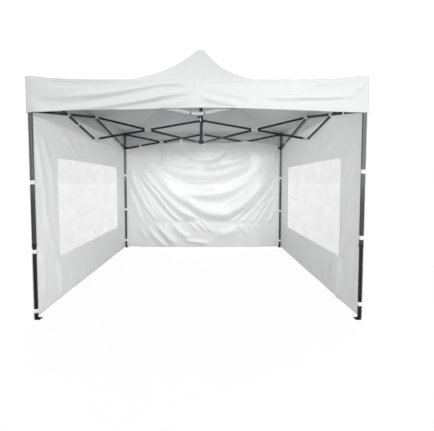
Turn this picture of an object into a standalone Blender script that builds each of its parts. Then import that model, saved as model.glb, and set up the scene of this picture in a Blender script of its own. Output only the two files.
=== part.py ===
"""Pop-up marquee tent, about 3 m by 3 m, with a pitched canopy, a valance and three side walls.

A folding frame of four telescopic square legs is tied along each side by two scissor
pairs, and across the middle by four more pairs that meet on two hubs. The mast in the
hubs holds the peak of the canopy up. The walls hang on the left, the right and the
back, each strapped to the legs and to the scissor bars, and the front is open.

Metres, +Z up. The origin is on the ground in the middle of the tent, and -Y is the
open front. Each wall and each side of the frame is drawn as a front side (outward is
-Y, x runs along it) and turned about Z by quarter turns.
"""

import math

import bmesh
import bpy
from mathutils import Matrix, Vector

GAP = 0.0003  # between pieces that touch

# Frame: the pivots of the scissor bars
LEG_HALF = 1.447  # leg centre from the middle of the tent
PIVOT_IN = 0.044  # corner pivots, along the side from the leg centre
TOP_PIVOT_Z = 2.100
SLIDER_Z = 1.855
MID_PIVOT_IN = 0.040  # middle pivots, along the side from the middle
MID_UPPER_Z = 2.100
MID_LOWER_Z = 1.820
INNER_PIVOT_IN = 0.045  # middle pivots of the inner bars, inward from the side
HUB_PIVOT_R = 0.050
HUB_UPPER_Z = 2.054
HUB_LOWER_Z = 1.775

# Legs
OUTER_TUBE = 0.028
OUTER_WALL = 0.0014
INNER_TUBE = 0.024
INNER_WALL = 0.0014
OUTER_Z = (0.66, 2.110)
INNER_TOP_Z = 1.150
FOOT_OUT = 0.015  # the plate's outer edges from the leg centre
FOOT_REACH = 0.036  # its inner edges
FOOT_THICK = 0.004
GUSSET_HIGH = 0.034
GUSSET_THICK = 0.003

# Scissor bars
BAR_WIDE = 0.012
BAR_HIGH = 0.028
BAR_END = 0.014  # past the pivot
SLEEVE_HALF = 0.042
SLEEVE_GROW = 0.00085
HIGH_LAYER = -0.004  # centre of the falling bars, inward from the leg centre plane
LOW_LAYER = 0.010  # centre of the rising bars
INNER_LAYER = 0.007  # centre of an inner bar, sideways from the middle plane
CHEEK = 0.0035

# Centre
MAST_R = 0.020
MAST_UPPER_R = 0.016
MAST_Z = (1.7503, 2.55, 2.965)
HUB_R = 0.030
CAP_R = 0.019

# Walls
WALL_IN = LEG_HALF + 0.0173
WALL_OUT = LEG_HALF + 0.0193
WALL_BOTTOM = 0.010
WALL_TOP = ((0.0, 1.950), (0.45, 1.960), (0.90, 1.960), (1.16, 1.930), (1.34, 1.860), (1.44, 1.815))
SIDE_WALL_HALF = LEG_HALF + 0.0170
WINDOW_HALF = 0.980
WINDOW_Z = (0.455, 1.480)
WINDOW_THICK = 0.0008
STRAP_THICK = 0.002
STRAP_HALF = 0.018
SIDE_STRAPS_U = (0.50, 1.08)  # on the falling and the rising bars
BACK_STRAPS_U = (0.40, 1.16)
STRAP_Z = {
    "front_left": (1.227, 0.615, 0.080),
    "front_right": (1.321, 0.739, 0.143),
    "back_left": (1.349, 0.717, 0.137),
    "back_right": (1.300, 0.690, 0.127),
}

# Canopy
CANOPY_HALF = LEG_HALF + 0.0221
CANOPY_THICK = 0.0025
EAVE_Z = 2.134
RISE = 0.8975
STEEPENING = 2.5  # how much faster the roof rises near the peak
HAUNCH = 2.0  # how far the hips stay up on their way to the corners
EAVE_SAG = 0.030
HOLLOW = 0.200
BREAK_OVER_FRAME = 0.030  # the roof's step up from the eave onto the frame
VALANCE_Z = 1.823
VALANCE_LIFT = 0.043
PEAK_FLAT = 0.014
CANOPY_LINES = (
    PEAK_FLAT, 0.04, 0.08, 0.13, 0.19, 0.26, 0.34, 0.42, 0.50,
    0.58, 0.66, 0.74, 0.82, 0.89, 0.94, 0.97, 0.985, 1.0,
)

CORNERS = ("front_left", "front_right", "back_right", "back_left")
SIDES = ("front", "right", "back", "left")


def clear_scene():
    for obj in list(bpy.data.objects):
        bpy.data.objects.remove(obj, do_unlink=True)


def material(name, colour, roughness, metallic=0.0, alpha=1.0):
    made = bpy.data.materials.new(name)
    made.use_nodes = True
    shader = made.node_tree.nodes["Principled BSDF"]
    shader.inputs["Base Color"].default_value = (*colour, 1.0)
    shader.inputs["Roughness"].default_value = roughness
    shader.inputs["Metallic"].default_value = metallic
    shader.inputs["Alpha"].default_value = alpha
    made.diffuse_color = (*colour, alpha)
    return made


def make_object(name, mesh, finish, location=(0, 0, 0), turn=(0, 0, 0)):
    if not mesh.materials:
        mesh.materials.append(finish)
    obj = bpy.data.objects.new(name, mesh)
    obj.location = location
    obj.rotation_euler = turn
    bpy.context.scene.collection.objects.link(obj)
    return obj


def mesh_of(bm, name):
    bmesh.ops.recalc_face_normals(bm, faces=bm.faces)
    mesh = bpy.data.meshes.new(name)
    bm.to_mesh(mesh)
    bm.free()
    return mesh


def box_mesh(low, high, place=None):
    """A closed box between two corners, moved by a matrix where one is given."""
    low, high = Vector(low), Vector(high)
    bm = bmesh.new()
    bmesh.ops.create_cube(bm, size=1.0)
    bmesh.ops.scale(bm, vec=high - low, verts=bm.verts)
    bmesh.ops.translate(bm, vec=(low + high) / 2, verts=bm.verts)
    if place is not None:
        bmesh.ops.transform(bm, matrix=place, verts=bm.verts)
    return mesh_of(bm, "box")


def prism_mesh(outline, axis, start, end):
    """An outline of two coordinates, extruded along the third axis from start to end."""
    bm = bmesh.new()

    def point(pair, along):
        values = list(pair)
        values.insert("XYZ".index(axis), along)
        return bm.verts.new(values)

    face = bm.faces.new([point(pair, start) for pair in outline])
    grown = bmesh.ops.extrude_face_region(bm, geom=[face])["geom"]
    moved = [item for item in grown if isinstance(item, bmesh.types.BMVert)]
    step = Vector([end - start if name == axis else 0.0 for name in "XYZ"])
    bmesh.ops.translate(bm, vec=step, verts=moved)
    return mesh_of(bm, "prism")


def disc(radius, count=32):
    turns = (2 * math.pi * i / count for i in range(count))
    return [(radius * math.cos(t), radius * math.sin(t)) for t in turns]


def fused_mesh(name, adds, cuts=()):
    """The first mesh with the others joined to it and the cutters taken out of it."""
    helpers = []
    for index, mesh in enumerate([*adds, *cuts]):
        helper = bpy.data.objects.new(f"helper_{index}", mesh)
        helper.hide_render = index > 0
        helper.display_type = "WIRE"
        bpy.context.scene.collection.objects.link(helper)
        helpers.append(helper)
    base = helpers[0]
    for index, helper in enumerate(helpers[1:], start=1):
        boolean = base.modifiers.new(helper.name, "BOOLEAN")
        boolean.solver = "EXACT"
        boolean.operation = "UNION" if index < len(adds) else "DIFFERENCE"
        boolean.object = helper
    graph = bpy.context.evaluated_depsgraph_get()
    made = bpy.data.meshes.new_from_object(base.evaluated_get(graph))
    made.name = name
    for helper in helpers:
        bpy.data.objects.remove(helper, do_unlink=True)
    return made


def rounded_ring(wide, high, radius, steps=2):
    """Points of a rectangle with rounded corners, anticlockwise."""
    points = []
    centres = ((1, 1), (-1, 1), (-1, -1), (1, -1))
    for index, (sx, sy) in enumerate(centres):
        for step in range(steps + 1):
            turn = math.pi / 2 * (index + step / steps)
            points.append(
                (
                    sx * (wide / 2 - radius) + radius * math.cos(turn),
                    sy * (high / 2 - radius) + radius * math.sin(turn),
                )
            )
    return points


def skin(bm, rings, closed_loop=False):
    """Quads between rings of the same number of vertices."""
    pairs = list(zip(rings, rings[1:] + rings[:1]))
    if not closed_loop:
        pairs.pop()
    for first, second in pairs:
        for i in range(len(first)):
            j = (i + 1) % len(first)
            bm.faces.new((first[i], first[j], second[j], second[i]))


def tube_mesh(name, outer, inner, low, high):
    """A square tube that is open at both ends."""
    bm = bmesh.new()
    rings = []
    for outline, z in ((outer, low), (outer, high), (inner, high), (inner, low)):
        rings.append([bm.verts.new((x, y, z)) for x, y in outline])
    skin(bm, rings, closed_loop=True)
    mesh = mesh_of(bm, name)
    mesh.name = name
    return mesh


def bar_mesh(name, length, crossing):
    """A flat tube along +X from its first pivot at the origin, with a sleeve at its crossing."""
    chamfer = 0.0015
    taper = 0.003
    stations = (
        (-BAR_END, -chamfer),
        (-BAR_END + chamfer, 0.0),
        (crossing - SLEEVE_HALF - taper, 0.0),
        (crossing - SLEEVE_HALF, SLEEVE_GROW),
        (crossing + SLEEVE_HALF, SLEEVE_GROW),
        (crossing + SLEEVE_HALF + taper, 0.0),
        (length + BAR_END - chamfer, 0.0),
        (length + BAR_END, -chamfer),
    )
    bm = bmesh.new()
    rings = []
    for x, grow in stations:
        outline = rounded_ring(BAR_WIDE + 2 * grow, BAR_HIGH + 2 * grow, 0.004 + grow)
        rings.append([bm.verts.new((x, y, z)) for y, z in outline])
    skin(bm, rings)
    bm.faces.new(rings[0])
    bm.faces.new(rings[-1])
    mesh = mesh_of(bm, name)
    mesh.name = name
    return mesh


def lathe_mesh(name, profile, count=32):
    """A closed turned solid from (radius, z) points that start and end on the axis."""
    bm = bmesh.new()
    points = [bm.verts.new((radius, 0, z)) for radius, z in profile]
    edges = [bm.edges.new(pair) for pair in zip(points, points[1:])]
    bmesh.ops.spin(
        bm, geom=points + edges, axis=(0, 0, 1), cent=(0, 0, 0),
        angle=2 * math.pi, steps=count, use_merge=True,
    )
    bmesh.ops.remove_doubles(bm, verts=bm.verts, dist=0.00005)
    mesh = mesh_of(bm, name)
    mesh.name = name
    for face in mesh.polygons:
        face.use_smooth = True
    mesh.set_sharp_from_angle(angle=math.radians(35))
    return mesh


def quarter(side):
    """The turn about Z that takes the front side to this one."""
    return math.pi / 2 * side


def turned(point, side):
    return Matrix.Rotation(quarter(side), 3, "Z") @ Vector(point)


def both_ways(low, high):
    """A box in corner coordinates and the same box with x and y exchanged."""
    swap = lambda p: (p[1], p[0], p[2])
    return [box_mesh(low, high), box_mesh(swap(low), swap(high))]


def cheeks(layer):
    """The two spans of a pair of cheeks that hold a bar centred on this layer."""
    half = BAR_WIDE / 2 + GAP
    return ((layer - half - CHEEK, layer - half), (layer + half, layer + half + CHEEK))


def corner_location(corner):
    x = -LEG_HALF if corner.endswith("left") else LEG_HALF
    y = -LEG_HALF if corner.startswith("front") else LEG_HALF
    return (x, y, 0.0)


def make_legs(grey, dark):
    outer = rounded_ring(OUTER_TUBE, OUTER_TUBE, 0.003)
    cavity = OUTER_TUBE - 2 * OUTER_WALL
    bore = rounded_ring(cavity, cavity, 0.0016)
    upper = tube_mesh("upper_leg", outer, bore, *OUTER_Z)

    half = INNER_TUBE / 2
    rod = rounded_ring(INNER_TUBE, INNER_TUBE, 0.0025)
    hollow = INNER_TUBE - 2 * INNER_WALL
    rod_bore = rounded_ring(hollow, hollow, 0.0012)
    tube = tube_mesh("tube", rod, rod_bore, FOOT_THICK / 2, INNER_TOP_Z)
    plate = box_mesh((-FOOT_OUT, -FOOT_OUT, 0), (FOOT_REACH, FOOT_REACH, FOOT_THICK))
    sole = FOOT_THICK / 2
    rib = [(half - 0.001, sole), (FOOT_REACH - 0.004, sole), (half - 0.001, GUSSET_HIGH)]
    along_x = prism_mesh(rib, "Y", -GUSSET_THICK / 2, GUSSET_THICK / 2)
    along_y = prism_mesh(rib, "X", -GUSSET_THICK / 2, GUSSET_THICK / 2)
    lower = fused_mesh("lower_leg", [tube, plate, along_x, along_y])
    for index, corner in enumerate(CORNERS):
        place = corner_location(corner)
        turn = (0, 0, quarter(index))
        make_object(f"upper_leg_{corner}", upper, grey, place, turn)
        make_object(f"lower_leg_{corner}", lower, dark, place, turn)


def make_corner_brackets(dark):
    reach = PIVOT_IN + BAR_END
    hole = OUTER_TUBE / 2 + GAP
    half = hole + 0.0022
    ear = 0.015
    low, high = 2.070, 2.1315
    adds = [box_mesh((-half, -half, low), (half, half, high))]
    for near, far in cheeks(HIGH_LAYER):
        adds += both_ways(
            (hole + 0.0011, near, TOP_PIVOT_Z - ear), (reach, far, TOP_PIVOT_Z + ear)
        )
    cuts = [box_mesh((-hole, -hole, low - 0.01), (hole, hole, OUTER_Z[1] + GAP))]
    top = fused_mesh("top_bracket", adds, cuts)

    half = hole + 0.0027
    tall = 0.020
    adds = [box_mesh((-half, -half, -tall), (half, half, tall))]
    for near, far in cheeks(LOW_LAYER):
        start = hole + 0.0011 if near < hole else 0.010
        adds += both_ways((start, near, -ear), (reach, far, ear))
    cuts = [box_mesh((-hole, -hole, -2 * tall), (hole, hole, 2 * tall))]
    slider = fused_mesh("slider", adds, cuts)
    for index, corner in enumerate(CORNERS):
        x, y, _ = corner_location(corner)
        turn = (0, 0, quarter(index))
        make_object(f"top_bracket_{corner}", top, dark, (x, y, 0), turn)
        make_object(f"slider_{corner}", slider, dark, (x, y, SLIDER_Z), turn)


def make_mid_connectors(dark):
    """The pair of connectors in the middle of each side, drawn with +Y inward."""
    ear = 0.0145
    tall = 0.0155
    reach_u = MID_PIVOT_IN + BAR_END
    reach_v = INNER_PIVOT_IN + BAR_END
    for name, z, layer, inner in (
        ("upper_mid", MID_UPPER_Z, LOW_LAYER, INNER_LAYER),
        ("lower_mid", MID_LOWER_Z, HIGH_LAYER, -INNER_LAYER),
    ):
        side_cheeks = cheeks(layer)
        front, back = side_cheeks[0][0], side_cheeks[1][1]
        adds = [box_mesh((-0.012, front, -tall), (0.012, back, tall))]
        for near, far in side_cheeks:
            adds.append(box_mesh((-reach_u, near, -ear), (reach_u, far, ear)))
        for near, far in cheeks(inner):
            adds.append(box_mesh((near, back - 0.001, -ear + 0.0005), (far, reach_v, ear - 0.0005)))
        if name == "lower_mid":
            web = cheeks(inner)
            adds.append(box_mesh((web[0][0], back - 0.001, -tall), (web[1][1], 0.022, tall)))
        mesh = fused_mesh(name, adds)
        for index, side in enumerate(SIDES):
            x, y, _ = turned((0, -LEG_HALF, 0), index)
            make_object(f"{name}_{side}", mesh, dark, (x, y, z), (0, 0, quarter(index)))


def make_hub(name, z, layer, dark, blind):
    """A round hub with four pairs of cheeks; the blind one is closed below the mast."""
    ear = 0.015
    tall = 0.018
    reach = HUB_PIVOT_R + BAR_END
    floor = z - tall - 0.007 if blind else z - tall
    adds = [prism_mesh(disc(HUB_R), "Z", floor, z + tall)]
    for side in range(4):
        turn = Matrix.Rotation(quarter(side), 4, "Z")
        for near, far in cheeks(layer):
            adds.append(box_mesh((near, -reach, z - ear), (far, -0.022, z + ear), turn))
    bore_low = MAST_Z[0] - GAP if blind else floor - 0.01
    cuts = [prism_mesh(disc(MAST_R + GAP), "Z", bore_low, z + tall + 0.01)]
    make_object(name, fused_mesh(name, adds, cuts), dark)


def make_centre(grey, dark):
    make_hub("hub_upper", HUB_UPPER_Z, -INNER_LAYER, dark, blind=False)
    make_hub("hub_lower", HUB_LOWER_Z, INNER_LAYER, dark, blind=True)
    low, step, top = MAST_Z
    cone = 0.006
    mast = lathe_mesh(
        "centre_pole",
        ((0, low), (MAST_R, low), (MAST_R, step), (MAST_UPPER_R, step + cone),
         (MAST_UPPER_R, top), (0, top)),
    )
    make_object("centre_pole", mast, grey)
    # The cap sits over the end of the mast and under the flat middle of the canopy.
    crown = roof_z(0, 0) - CANOPY_THICK - GAP
    bore = MAST_UPPER_R + GAP
    cap = lathe_mesh(
        "peak_cap",
        ((0, top + GAP), (bore, top + GAP), (bore, top - 0.03), (CAP_R, top - 0.03),
         (CAP_R, crown - 0.006), (CAP_R - 0.003, crown), (0, crown)),
    )
    make_object("peak_cap", cap, dark)


def make_bars(grey):
    """Two crossing bars in each half of each side, and two from each side to the hubs."""
    corner_u = LEG_HALF - PIVOT_IN
    run = corner_u - MID_PIVOT_IN
    inner_run = LEG_HALF - INNER_PIVOT_IN - HUB_PIVOT_R

    def crossing(span, drop, rise, apart):
        """How far along the span two bars cross that start this far apart."""
        return span * apart / (drop + rise)

    drop, rise = TOP_PIVOT_Z - MID_LOWER_Z, MID_UPPER_Z - SLIDER_Z
    cross = crossing(run, drop, rise, TOP_PIVOT_Z - SLIDER_Z)
    inner_drop, inner_rise = MID_UPPER_Z - HUB_LOWER_Z, HUB_UPPER_Z - MID_LOWER_Z
    inner_cross = crossing(inner_run, inner_drop, inner_rise, MID_UPPER_Z - MID_LOWER_Z)

    def meshed(name, span, fall, at):
        length = math.hypot(span, fall)
        return bar_mesh(name, length, at * length / span), math.atan2(fall, span)

    kinds = {
        "high": (*meshed("bar_high", run, drop, cross), TOP_PIVOT_Z, HIGH_LAYER),
        "low": (*meshed("bar_low", run, -rise, cross), SLIDER_Z, LOW_LAYER),
    }
    inner_kinds = {
        "upper": (*meshed("bar_upper", inner_run, inner_drop, inner_cross), MID_UPPER_Z, INNER_LAYER),
        "lower": (*meshed("bar_lower", inner_run, -inner_rise, inner_cross), MID_LOWER_Z, -INNER_LAYER),
    }
    for index, side in enumerate(SIDES):
        for half, sign in (("first", -1), ("second", 1)):
            for kind, (mesh, pitch, z, layer) in kinds.items():
                x, y, _ = turned((sign * corner_u, -LEG_HALF + layer, 0), index)
                yaw = quarter(index) + (0 if sign < 0 else math.pi)
                make_object(f"bar_{side}_{half}_{kind}", mesh, grey, (x, y, z), (0, pitch, yaw))
        for kind, (mesh, pitch, z, layer) in inner_kinds.items():
            x, y, _ = turned((layer, -LEG_HALF + INNER_PIVOT_IN, 0), index)
            turn = (0, pitch, quarter(index) + math.pi / 2)
            make_object(f"bar_inner_{side}_{kind}", mesh, grey, (x, y, z), turn)


def bar_z(kind, u):
    """Height of a side bar's centre line at this distance from the middle of the side."""
    share = (LEG_HALF - PIVOT_IN - abs(u)) / (LEG_HALF - PIVOT_IN - MID_PIVOT_IN)
    if kind == "high":
        return TOP_PIVOT_Z + (MID_LOWER_Z - TOP_PIVOT_Z) * share
    return SLIDER_Z + (MID_UPPER_Z - SLIDER_Z) * share


def wall_outline(half):
    """The wall's flat outline: straight sides and hem, and a top edge that sinks to the corners."""
    right = [(min(u, half), z) for u, z in WALL_TOP]
    right.append((half, WALL_TOP[-1][1] - 0.01))
    left = [(-u, z) for u, z in reversed(right[1:])]
    return [(half, WALL_BOTTOM), *reversed(right), *reversed(left), (-half, WALL_BOTTOM)]


def leg_strap(x, z):
    """The outside and the inside of a loop round a leg; lower tubes slide in theirs."""
    on_lower = z + STRAP_HALF < OUTER_Z[0]
    room = INNER_TUBE / 2 + 0.001 if on_lower else OUTER_TUBE / 2 + 0.0005
    size = room + STRAP_THICK
    y = -LEG_HALF
    outside = box_mesh(
        (x - size, -WALL_IN - 0.001, z - STRAP_HALF), (x + size, y + size, z + STRAP_HALF)
    )
    inside = box_mesh(
        (x - room, y - room, z - 2 * STRAP_HALF), (x + room, y + room, z + 2 * STRAP_HALF)
    )
    return outside, inside


def bar_strap(kind, u):
    """The outside and the inside of a loop round a scissor bar."""
    layer = HIGH_LAYER if kind == "high" else LOW_LAYER
    rise = bar_z(kind, u + 0.01) - bar_z(kind, u - 0.01)
    place = Matrix.Translation((u, -LEG_HALF, bar_z(kind, u)))
    place = place @ Matrix.Rotation(-math.atan2(rise, 0.02), 4, "Y")
    room_y = BAR_WIDE / 2 + 0.0007
    room_z = BAR_HIGH / 2 + 0.0007
    high = room_z + STRAP_THICK
    outward = LEG_HALF - WALL_IN - 0.001
    outside = box_mesh(
        (-STRAP_HALF, outward, -high), (STRAP_HALF, layer + room_y + STRAP_THICK, high), place
    )
    inside = box_mesh(
        (-2 * STRAP_HALF, layer - room_y, -room_z), (2 * STRAP_HALF, layer + room_y, room_z), place
    )
    return outside, inside


def window_outline(inset):
    """The window's rounded outline in (u, z)."""
    high = WINDOW_Z[1] - WINDOW_Z[0]
    middle = (WINDOW_Z[0] + WINDOW_Z[1]) / 2
    ring = rounded_ring(2 * (WINDOW_HALF - inset), high - 2 * inset, 0.03 - inset, steps=4)
    return [(u, z + middle) for u, z in ring]


def make_wall(name, index, half, straps, bar_straps, cloth, window=None):
    """A wall drawn as the front one, with its strap loops, turned to its own side."""
    outline = wall_outline(half)
    slab = prism_mesh(outline, "Y", -WALL_OUT, -WALL_IN)
    loops = [leg_strap(x, z) for x, z in straps]
    for kind, u in zip(("high", "low"), bar_straps):
        loops += [bar_strap(kind, u), bar_strap(kind, -u)]
    adds = [slab, *(outside for outside, _ in loops)]
    cuts = [inside for _, inside in loops]
    if window:
        cuts.append(prism_mesh(window_outline(0.0), "Y", -WALL_OUT - 0.01, -WALL_IN + 0.01))
    turn = (0, 0, quarter(index))
    make_object(name, fused_mesh(name, adds, cuts), cloth, turn=turn)
    if window:
        middle = -(WALL_IN + WALL_OUT) / 2
        pane = prism_mesh(
            window_outline(GAP), "Y", middle - WINDOW_THICK / 2, middle + WINDOW_THICK / 2
        )
        side = name.removeprefix("wall_")
        make_object(f"window_{side}", pane, window, turn=turn)


def make_walls(cloth, clear):
    def loops(corner, x):
        return [(x, z) for z in STRAP_Z[corner]]

    right = loops("front_right", -LEG_HALF)
    left = loops("front_left", LEG_HALF)
    back = loops("back_right", -LEG_HALF) + loops("back_left", LEG_HALF)
    make_wall("wall_right", 1, SIDE_WALL_HALF, right, SIDE_STRAPS_U, cloth, clear)
    make_wall("wall_left", 3, SIDE_WALL_HALF, left, SIDE_STRAPS_U, cloth, clear)
    make_wall("wall_back", 2, WALL_OUT, back, BACK_STRAPS_U, cloth)


def eave_z(n):
    """The seam of roof and valance: highest at the corners, slack between them."""
    return EAVE_Z - EAVE_SAG * (1 - abs(n) ** 6)


def roof_z(x, y):
    """The canopy's height: a witch's-hat rise to the peak, hollow between the hips."""
    big = max(abs(x), abs(y), PEAK_FLAT * CANOPY_HALF) / CANOPY_HALF
    small = min(abs(x), abs(y)) / CANOPY_HALF
    rise = RISE * ((1 - big) ** STEEPENING + HAUNCH * big**3 * (1 - big) ** 2)
    slack = EAVE_SAG * big**2 + HOLLOW * big * (1 - big)
    ridge = min(small / big, 1.0) ** (2 + 4 * big**4)
    step = BREAK_OVER_FRAME * (1 - big**60) * big**6
    return EAVE_Z + rise - slack * (1 - ridge) + step


def make_canopy(cloth):
    lines = [-t for t in reversed(CANOPY_LINES)] + list(CANOPY_LINES)
    count = len(lines)
    bm = bmesh.new()

    def sheet(drop):
        rows = []
        for ty in lines:
            row = []
            for tx in lines:
                x, y = tx * CANOPY_HALF, ty * CANOPY_HALF
                row.append(bm.verts.new((x, y, roof_z(x, y) - drop)))
            rows.append(row)
        return rows

    top, bottom = sheet(0.0), sheet(CANOPY_THICK)
    for rows in (top, bottom):
        for i in range(count - 1):
            for j in range(count - 1):
                a, b = rows[i][j], rows[i][j + 1]
                c, d = rows[i + 1][j + 1], rows[i + 1][j]
                # The cells along a hip fold on the hip.
                if lines[i] + lines[i + 1] < 0 and lines[j] + lines[j + 1] > 0:
                    bm.faces.new((a, b, d))
                    bm.faces.new((b, c, d))
                elif lines[i] + lines[i + 1] > 0 and lines[j] + lines[j + 1] < 0:
                    bm.faces.new((a, b, d))
                    bm.faces.new((b, c, d))
                else:
                    bm.faces.new((a, b, c))
                    bm.faces.new((a, c, d))

    def rim(rows):
        last = count - 1
        loop = [rows[0][j] for j in range(last)]
        loop += [rows[i][last] for i in range(last)]
        loop += [rows[last][j] for j in range(last, 0, -1)]
        loop += [rows[i][0] for i in range(last, 0, -1)]
        return loop

    skin(bm, [rim(top), rim(bottom)])
    make_object("canopy_roof", mesh_of(bm, "canopy_roof"), cloth)

    def ring(half, height):
        """One closed line round the valance, at the canopy's own grid lines."""
        points = []
        for side in range(4):
            for t in lines[:-1]:
                x, y, _ = turned((t * half, -half, 0), side)
                points.append((x, y, height(t)))
        return points

    def top_z(t):
        return eave_z(t) - CANOPY_THICK - GAP

    def bottom_z(t):
        return VALANCE_Z + VALANCE_LIFT * (1 - abs(t) ** 1.2)

    inner = CANOPY_HALF - CANOPY_THICK
    bm = bmesh.new()
    rings = []
    for half, height in (
        (CANOPY_HALF, top_z), (CANOPY_HALF, bottom_z), (inner, bottom_z), (inner, top_z)
    ):
        rings.append([bm.verts.new(point) for point in ring(half, height)])
    skin(bm, rings, closed_loop=True)
    make_object("canopy_valance", mesh_of(bm, "canopy_valance"), cloth)


def main():
    clear_scene()
    grey = material("frame_grey", (0.16, 0.165, 0.17), 0.45, 0.6)
    dark = material("leg_dark", (0.07, 0.072, 0.075), 0.42, 0.5)
    plastic = material("black_plastic", (0.03, 0.03, 0.032), 0.5)
    cloth = material("white_polyester", (0.86, 0.87, 0.88), 0.75)
    clear = material("clear_pvc", (0.9, 0.93, 0.95), 0.12, alpha=0.35)
    make_legs(grey, dark)
    make_corner_brackets(plastic)
    make_mid_connectors(plastic)
    make_centre(grey, plastic)
    make_bars(grey)
    make_walls(cloth, clear)
    make_canopy(cloth)


main()
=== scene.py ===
# %% [markdown]
# # A pop-up marquee tent
# The tent is a folding steel frame under a white cover, with a cloth wall on three sides.
# The solids of the frame come from the part's own source and stay where they are: they only
# get finishes and the small fittings that hold them. Everything that is cloth is made anew
# here as thin sheets with folds, because a plain slab never looks like cloth.

# %% Load the tent's solids
import math

import bmesh
import bpy
import numpy as np
from mathutils import Matrix, Vector


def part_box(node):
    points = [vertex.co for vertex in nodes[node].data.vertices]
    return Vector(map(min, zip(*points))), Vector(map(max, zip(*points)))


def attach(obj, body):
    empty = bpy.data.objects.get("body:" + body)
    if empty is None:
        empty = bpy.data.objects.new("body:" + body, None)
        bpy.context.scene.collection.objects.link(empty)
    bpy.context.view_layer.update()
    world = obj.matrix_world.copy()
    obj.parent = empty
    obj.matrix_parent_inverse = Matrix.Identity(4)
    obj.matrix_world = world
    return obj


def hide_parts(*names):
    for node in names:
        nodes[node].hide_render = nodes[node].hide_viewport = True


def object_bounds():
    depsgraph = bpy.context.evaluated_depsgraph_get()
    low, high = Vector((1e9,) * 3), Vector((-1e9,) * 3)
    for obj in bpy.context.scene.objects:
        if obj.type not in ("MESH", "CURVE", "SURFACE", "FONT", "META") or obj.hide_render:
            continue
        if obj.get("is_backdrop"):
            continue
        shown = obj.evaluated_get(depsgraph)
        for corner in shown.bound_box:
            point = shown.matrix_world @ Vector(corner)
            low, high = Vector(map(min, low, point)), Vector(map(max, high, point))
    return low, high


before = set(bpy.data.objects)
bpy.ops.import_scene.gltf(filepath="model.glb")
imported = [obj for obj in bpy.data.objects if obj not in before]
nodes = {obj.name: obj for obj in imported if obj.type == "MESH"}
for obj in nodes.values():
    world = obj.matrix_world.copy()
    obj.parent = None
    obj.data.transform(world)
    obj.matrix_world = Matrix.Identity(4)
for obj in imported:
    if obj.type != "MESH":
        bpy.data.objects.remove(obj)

cad_low, cad_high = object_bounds()
print("solids loaded:", len(nodes), "box", tuple(round(x, 3) for x in cad_high - cad_low))

# %% [markdown]
# ## The sizes that the cloth is cut to
# The cover has to sit on the frame and the walls have to hang on the legs, so these sizes
# are taken from the solids. Only the eave's height and the sag of the cloth are given.

# %% Sizes
leg_low, leg_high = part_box("upper_leg_front_right")
LEG = (leg_low.x + leg_high.x) / 2  # from the middle of the tent to a leg's centre
TUBE = (leg_high.x - leg_low.x) / 2
INNER = TUBE - 0.002  # half the lower tube's width
TUBE_END = leg_low.z
EDGE = cad_high.x  # the cover's edge
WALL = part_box("wall_right")[1].x - 0.001  # middle of the walls' cloth
PEAK = cad_high.z
EAVE = 2.134  # the cover's edge at the corners
VALANCE_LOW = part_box("canopy_valance")[0].z
SIDES = ("front", "right", "back", "left")
CORNERS = ("front_left", "front_right", "back_right", "back_left")
print("leg centre", round(LEG, 4), "cover edge", round(EDGE, 4), "wall", round(WALL, 4))


def ease(low, high, value):
    """0 before low, 1 after high and a smooth step between them."""
    t = np.clip((value - low) / (high - low), 0, 1)
    return t * t * (3 - 2 * t)


# %% [markdown]
# ## A small language for shader maths
# Blender's nodes do sums one box at a time. The class below wraps a socket, so that a sum
# can be written as a sum, and the recipe class adds any other node from its type, its
# settings and what goes into its sockets. All finishes below are written with these two.


# %% Shader maths
class Value:
    """A socket that takes part in sums."""

    def __init__(self, recipe, socket):
        self.recipe, self.socket = recipe, socket

    def sum(self, operation, first, second=None, clamp=False):
        values = {0: first} if second is None else {0: first, 1: second}
        settings = {"operation": operation, "use_clamp": clamp}
        return self.recipe.add("ShaderNodeMath", settings, values)

    def __add__(self, other):
        return self.sum("ADD", self, other)

    def __radd__(self, other):
        return self.sum("ADD", other, self)

    def __sub__(self, other):
        return self.sum("SUBTRACT", self, other)

    def __rsub__(self, other):
        return self.sum("SUBTRACT", other, self)

    def __mul__(self, other):
        return self.sum("MULTIPLY", self, other)

    def __rmul__(self, other):
        return self.sum("MULTIPLY", other, self)

    def __lt__(self, other):
        return self.sum("LESS_THAN", self, other)

    def __gt__(self, other):
        return self.sum("GREATER_THAN", self, other)

    def __abs__(self):
        return self.sum("ABSOLUTE", self)

    def least(self, other):
        return self.sum("MINIMUM", self, other)

    def most(self, other):
        return self.sum("MAXIMUM", self, other)

    def part(self):
        return self.sum("FRACT", self)

    def wave(self):
        return self.sum("SINE", self)

    def held(self):
        """Kept from 0 to 1."""
        return self.sum("ADD", self, 0.0, clamp=True)


BLACK = (0, 0, 0, 1)


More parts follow.
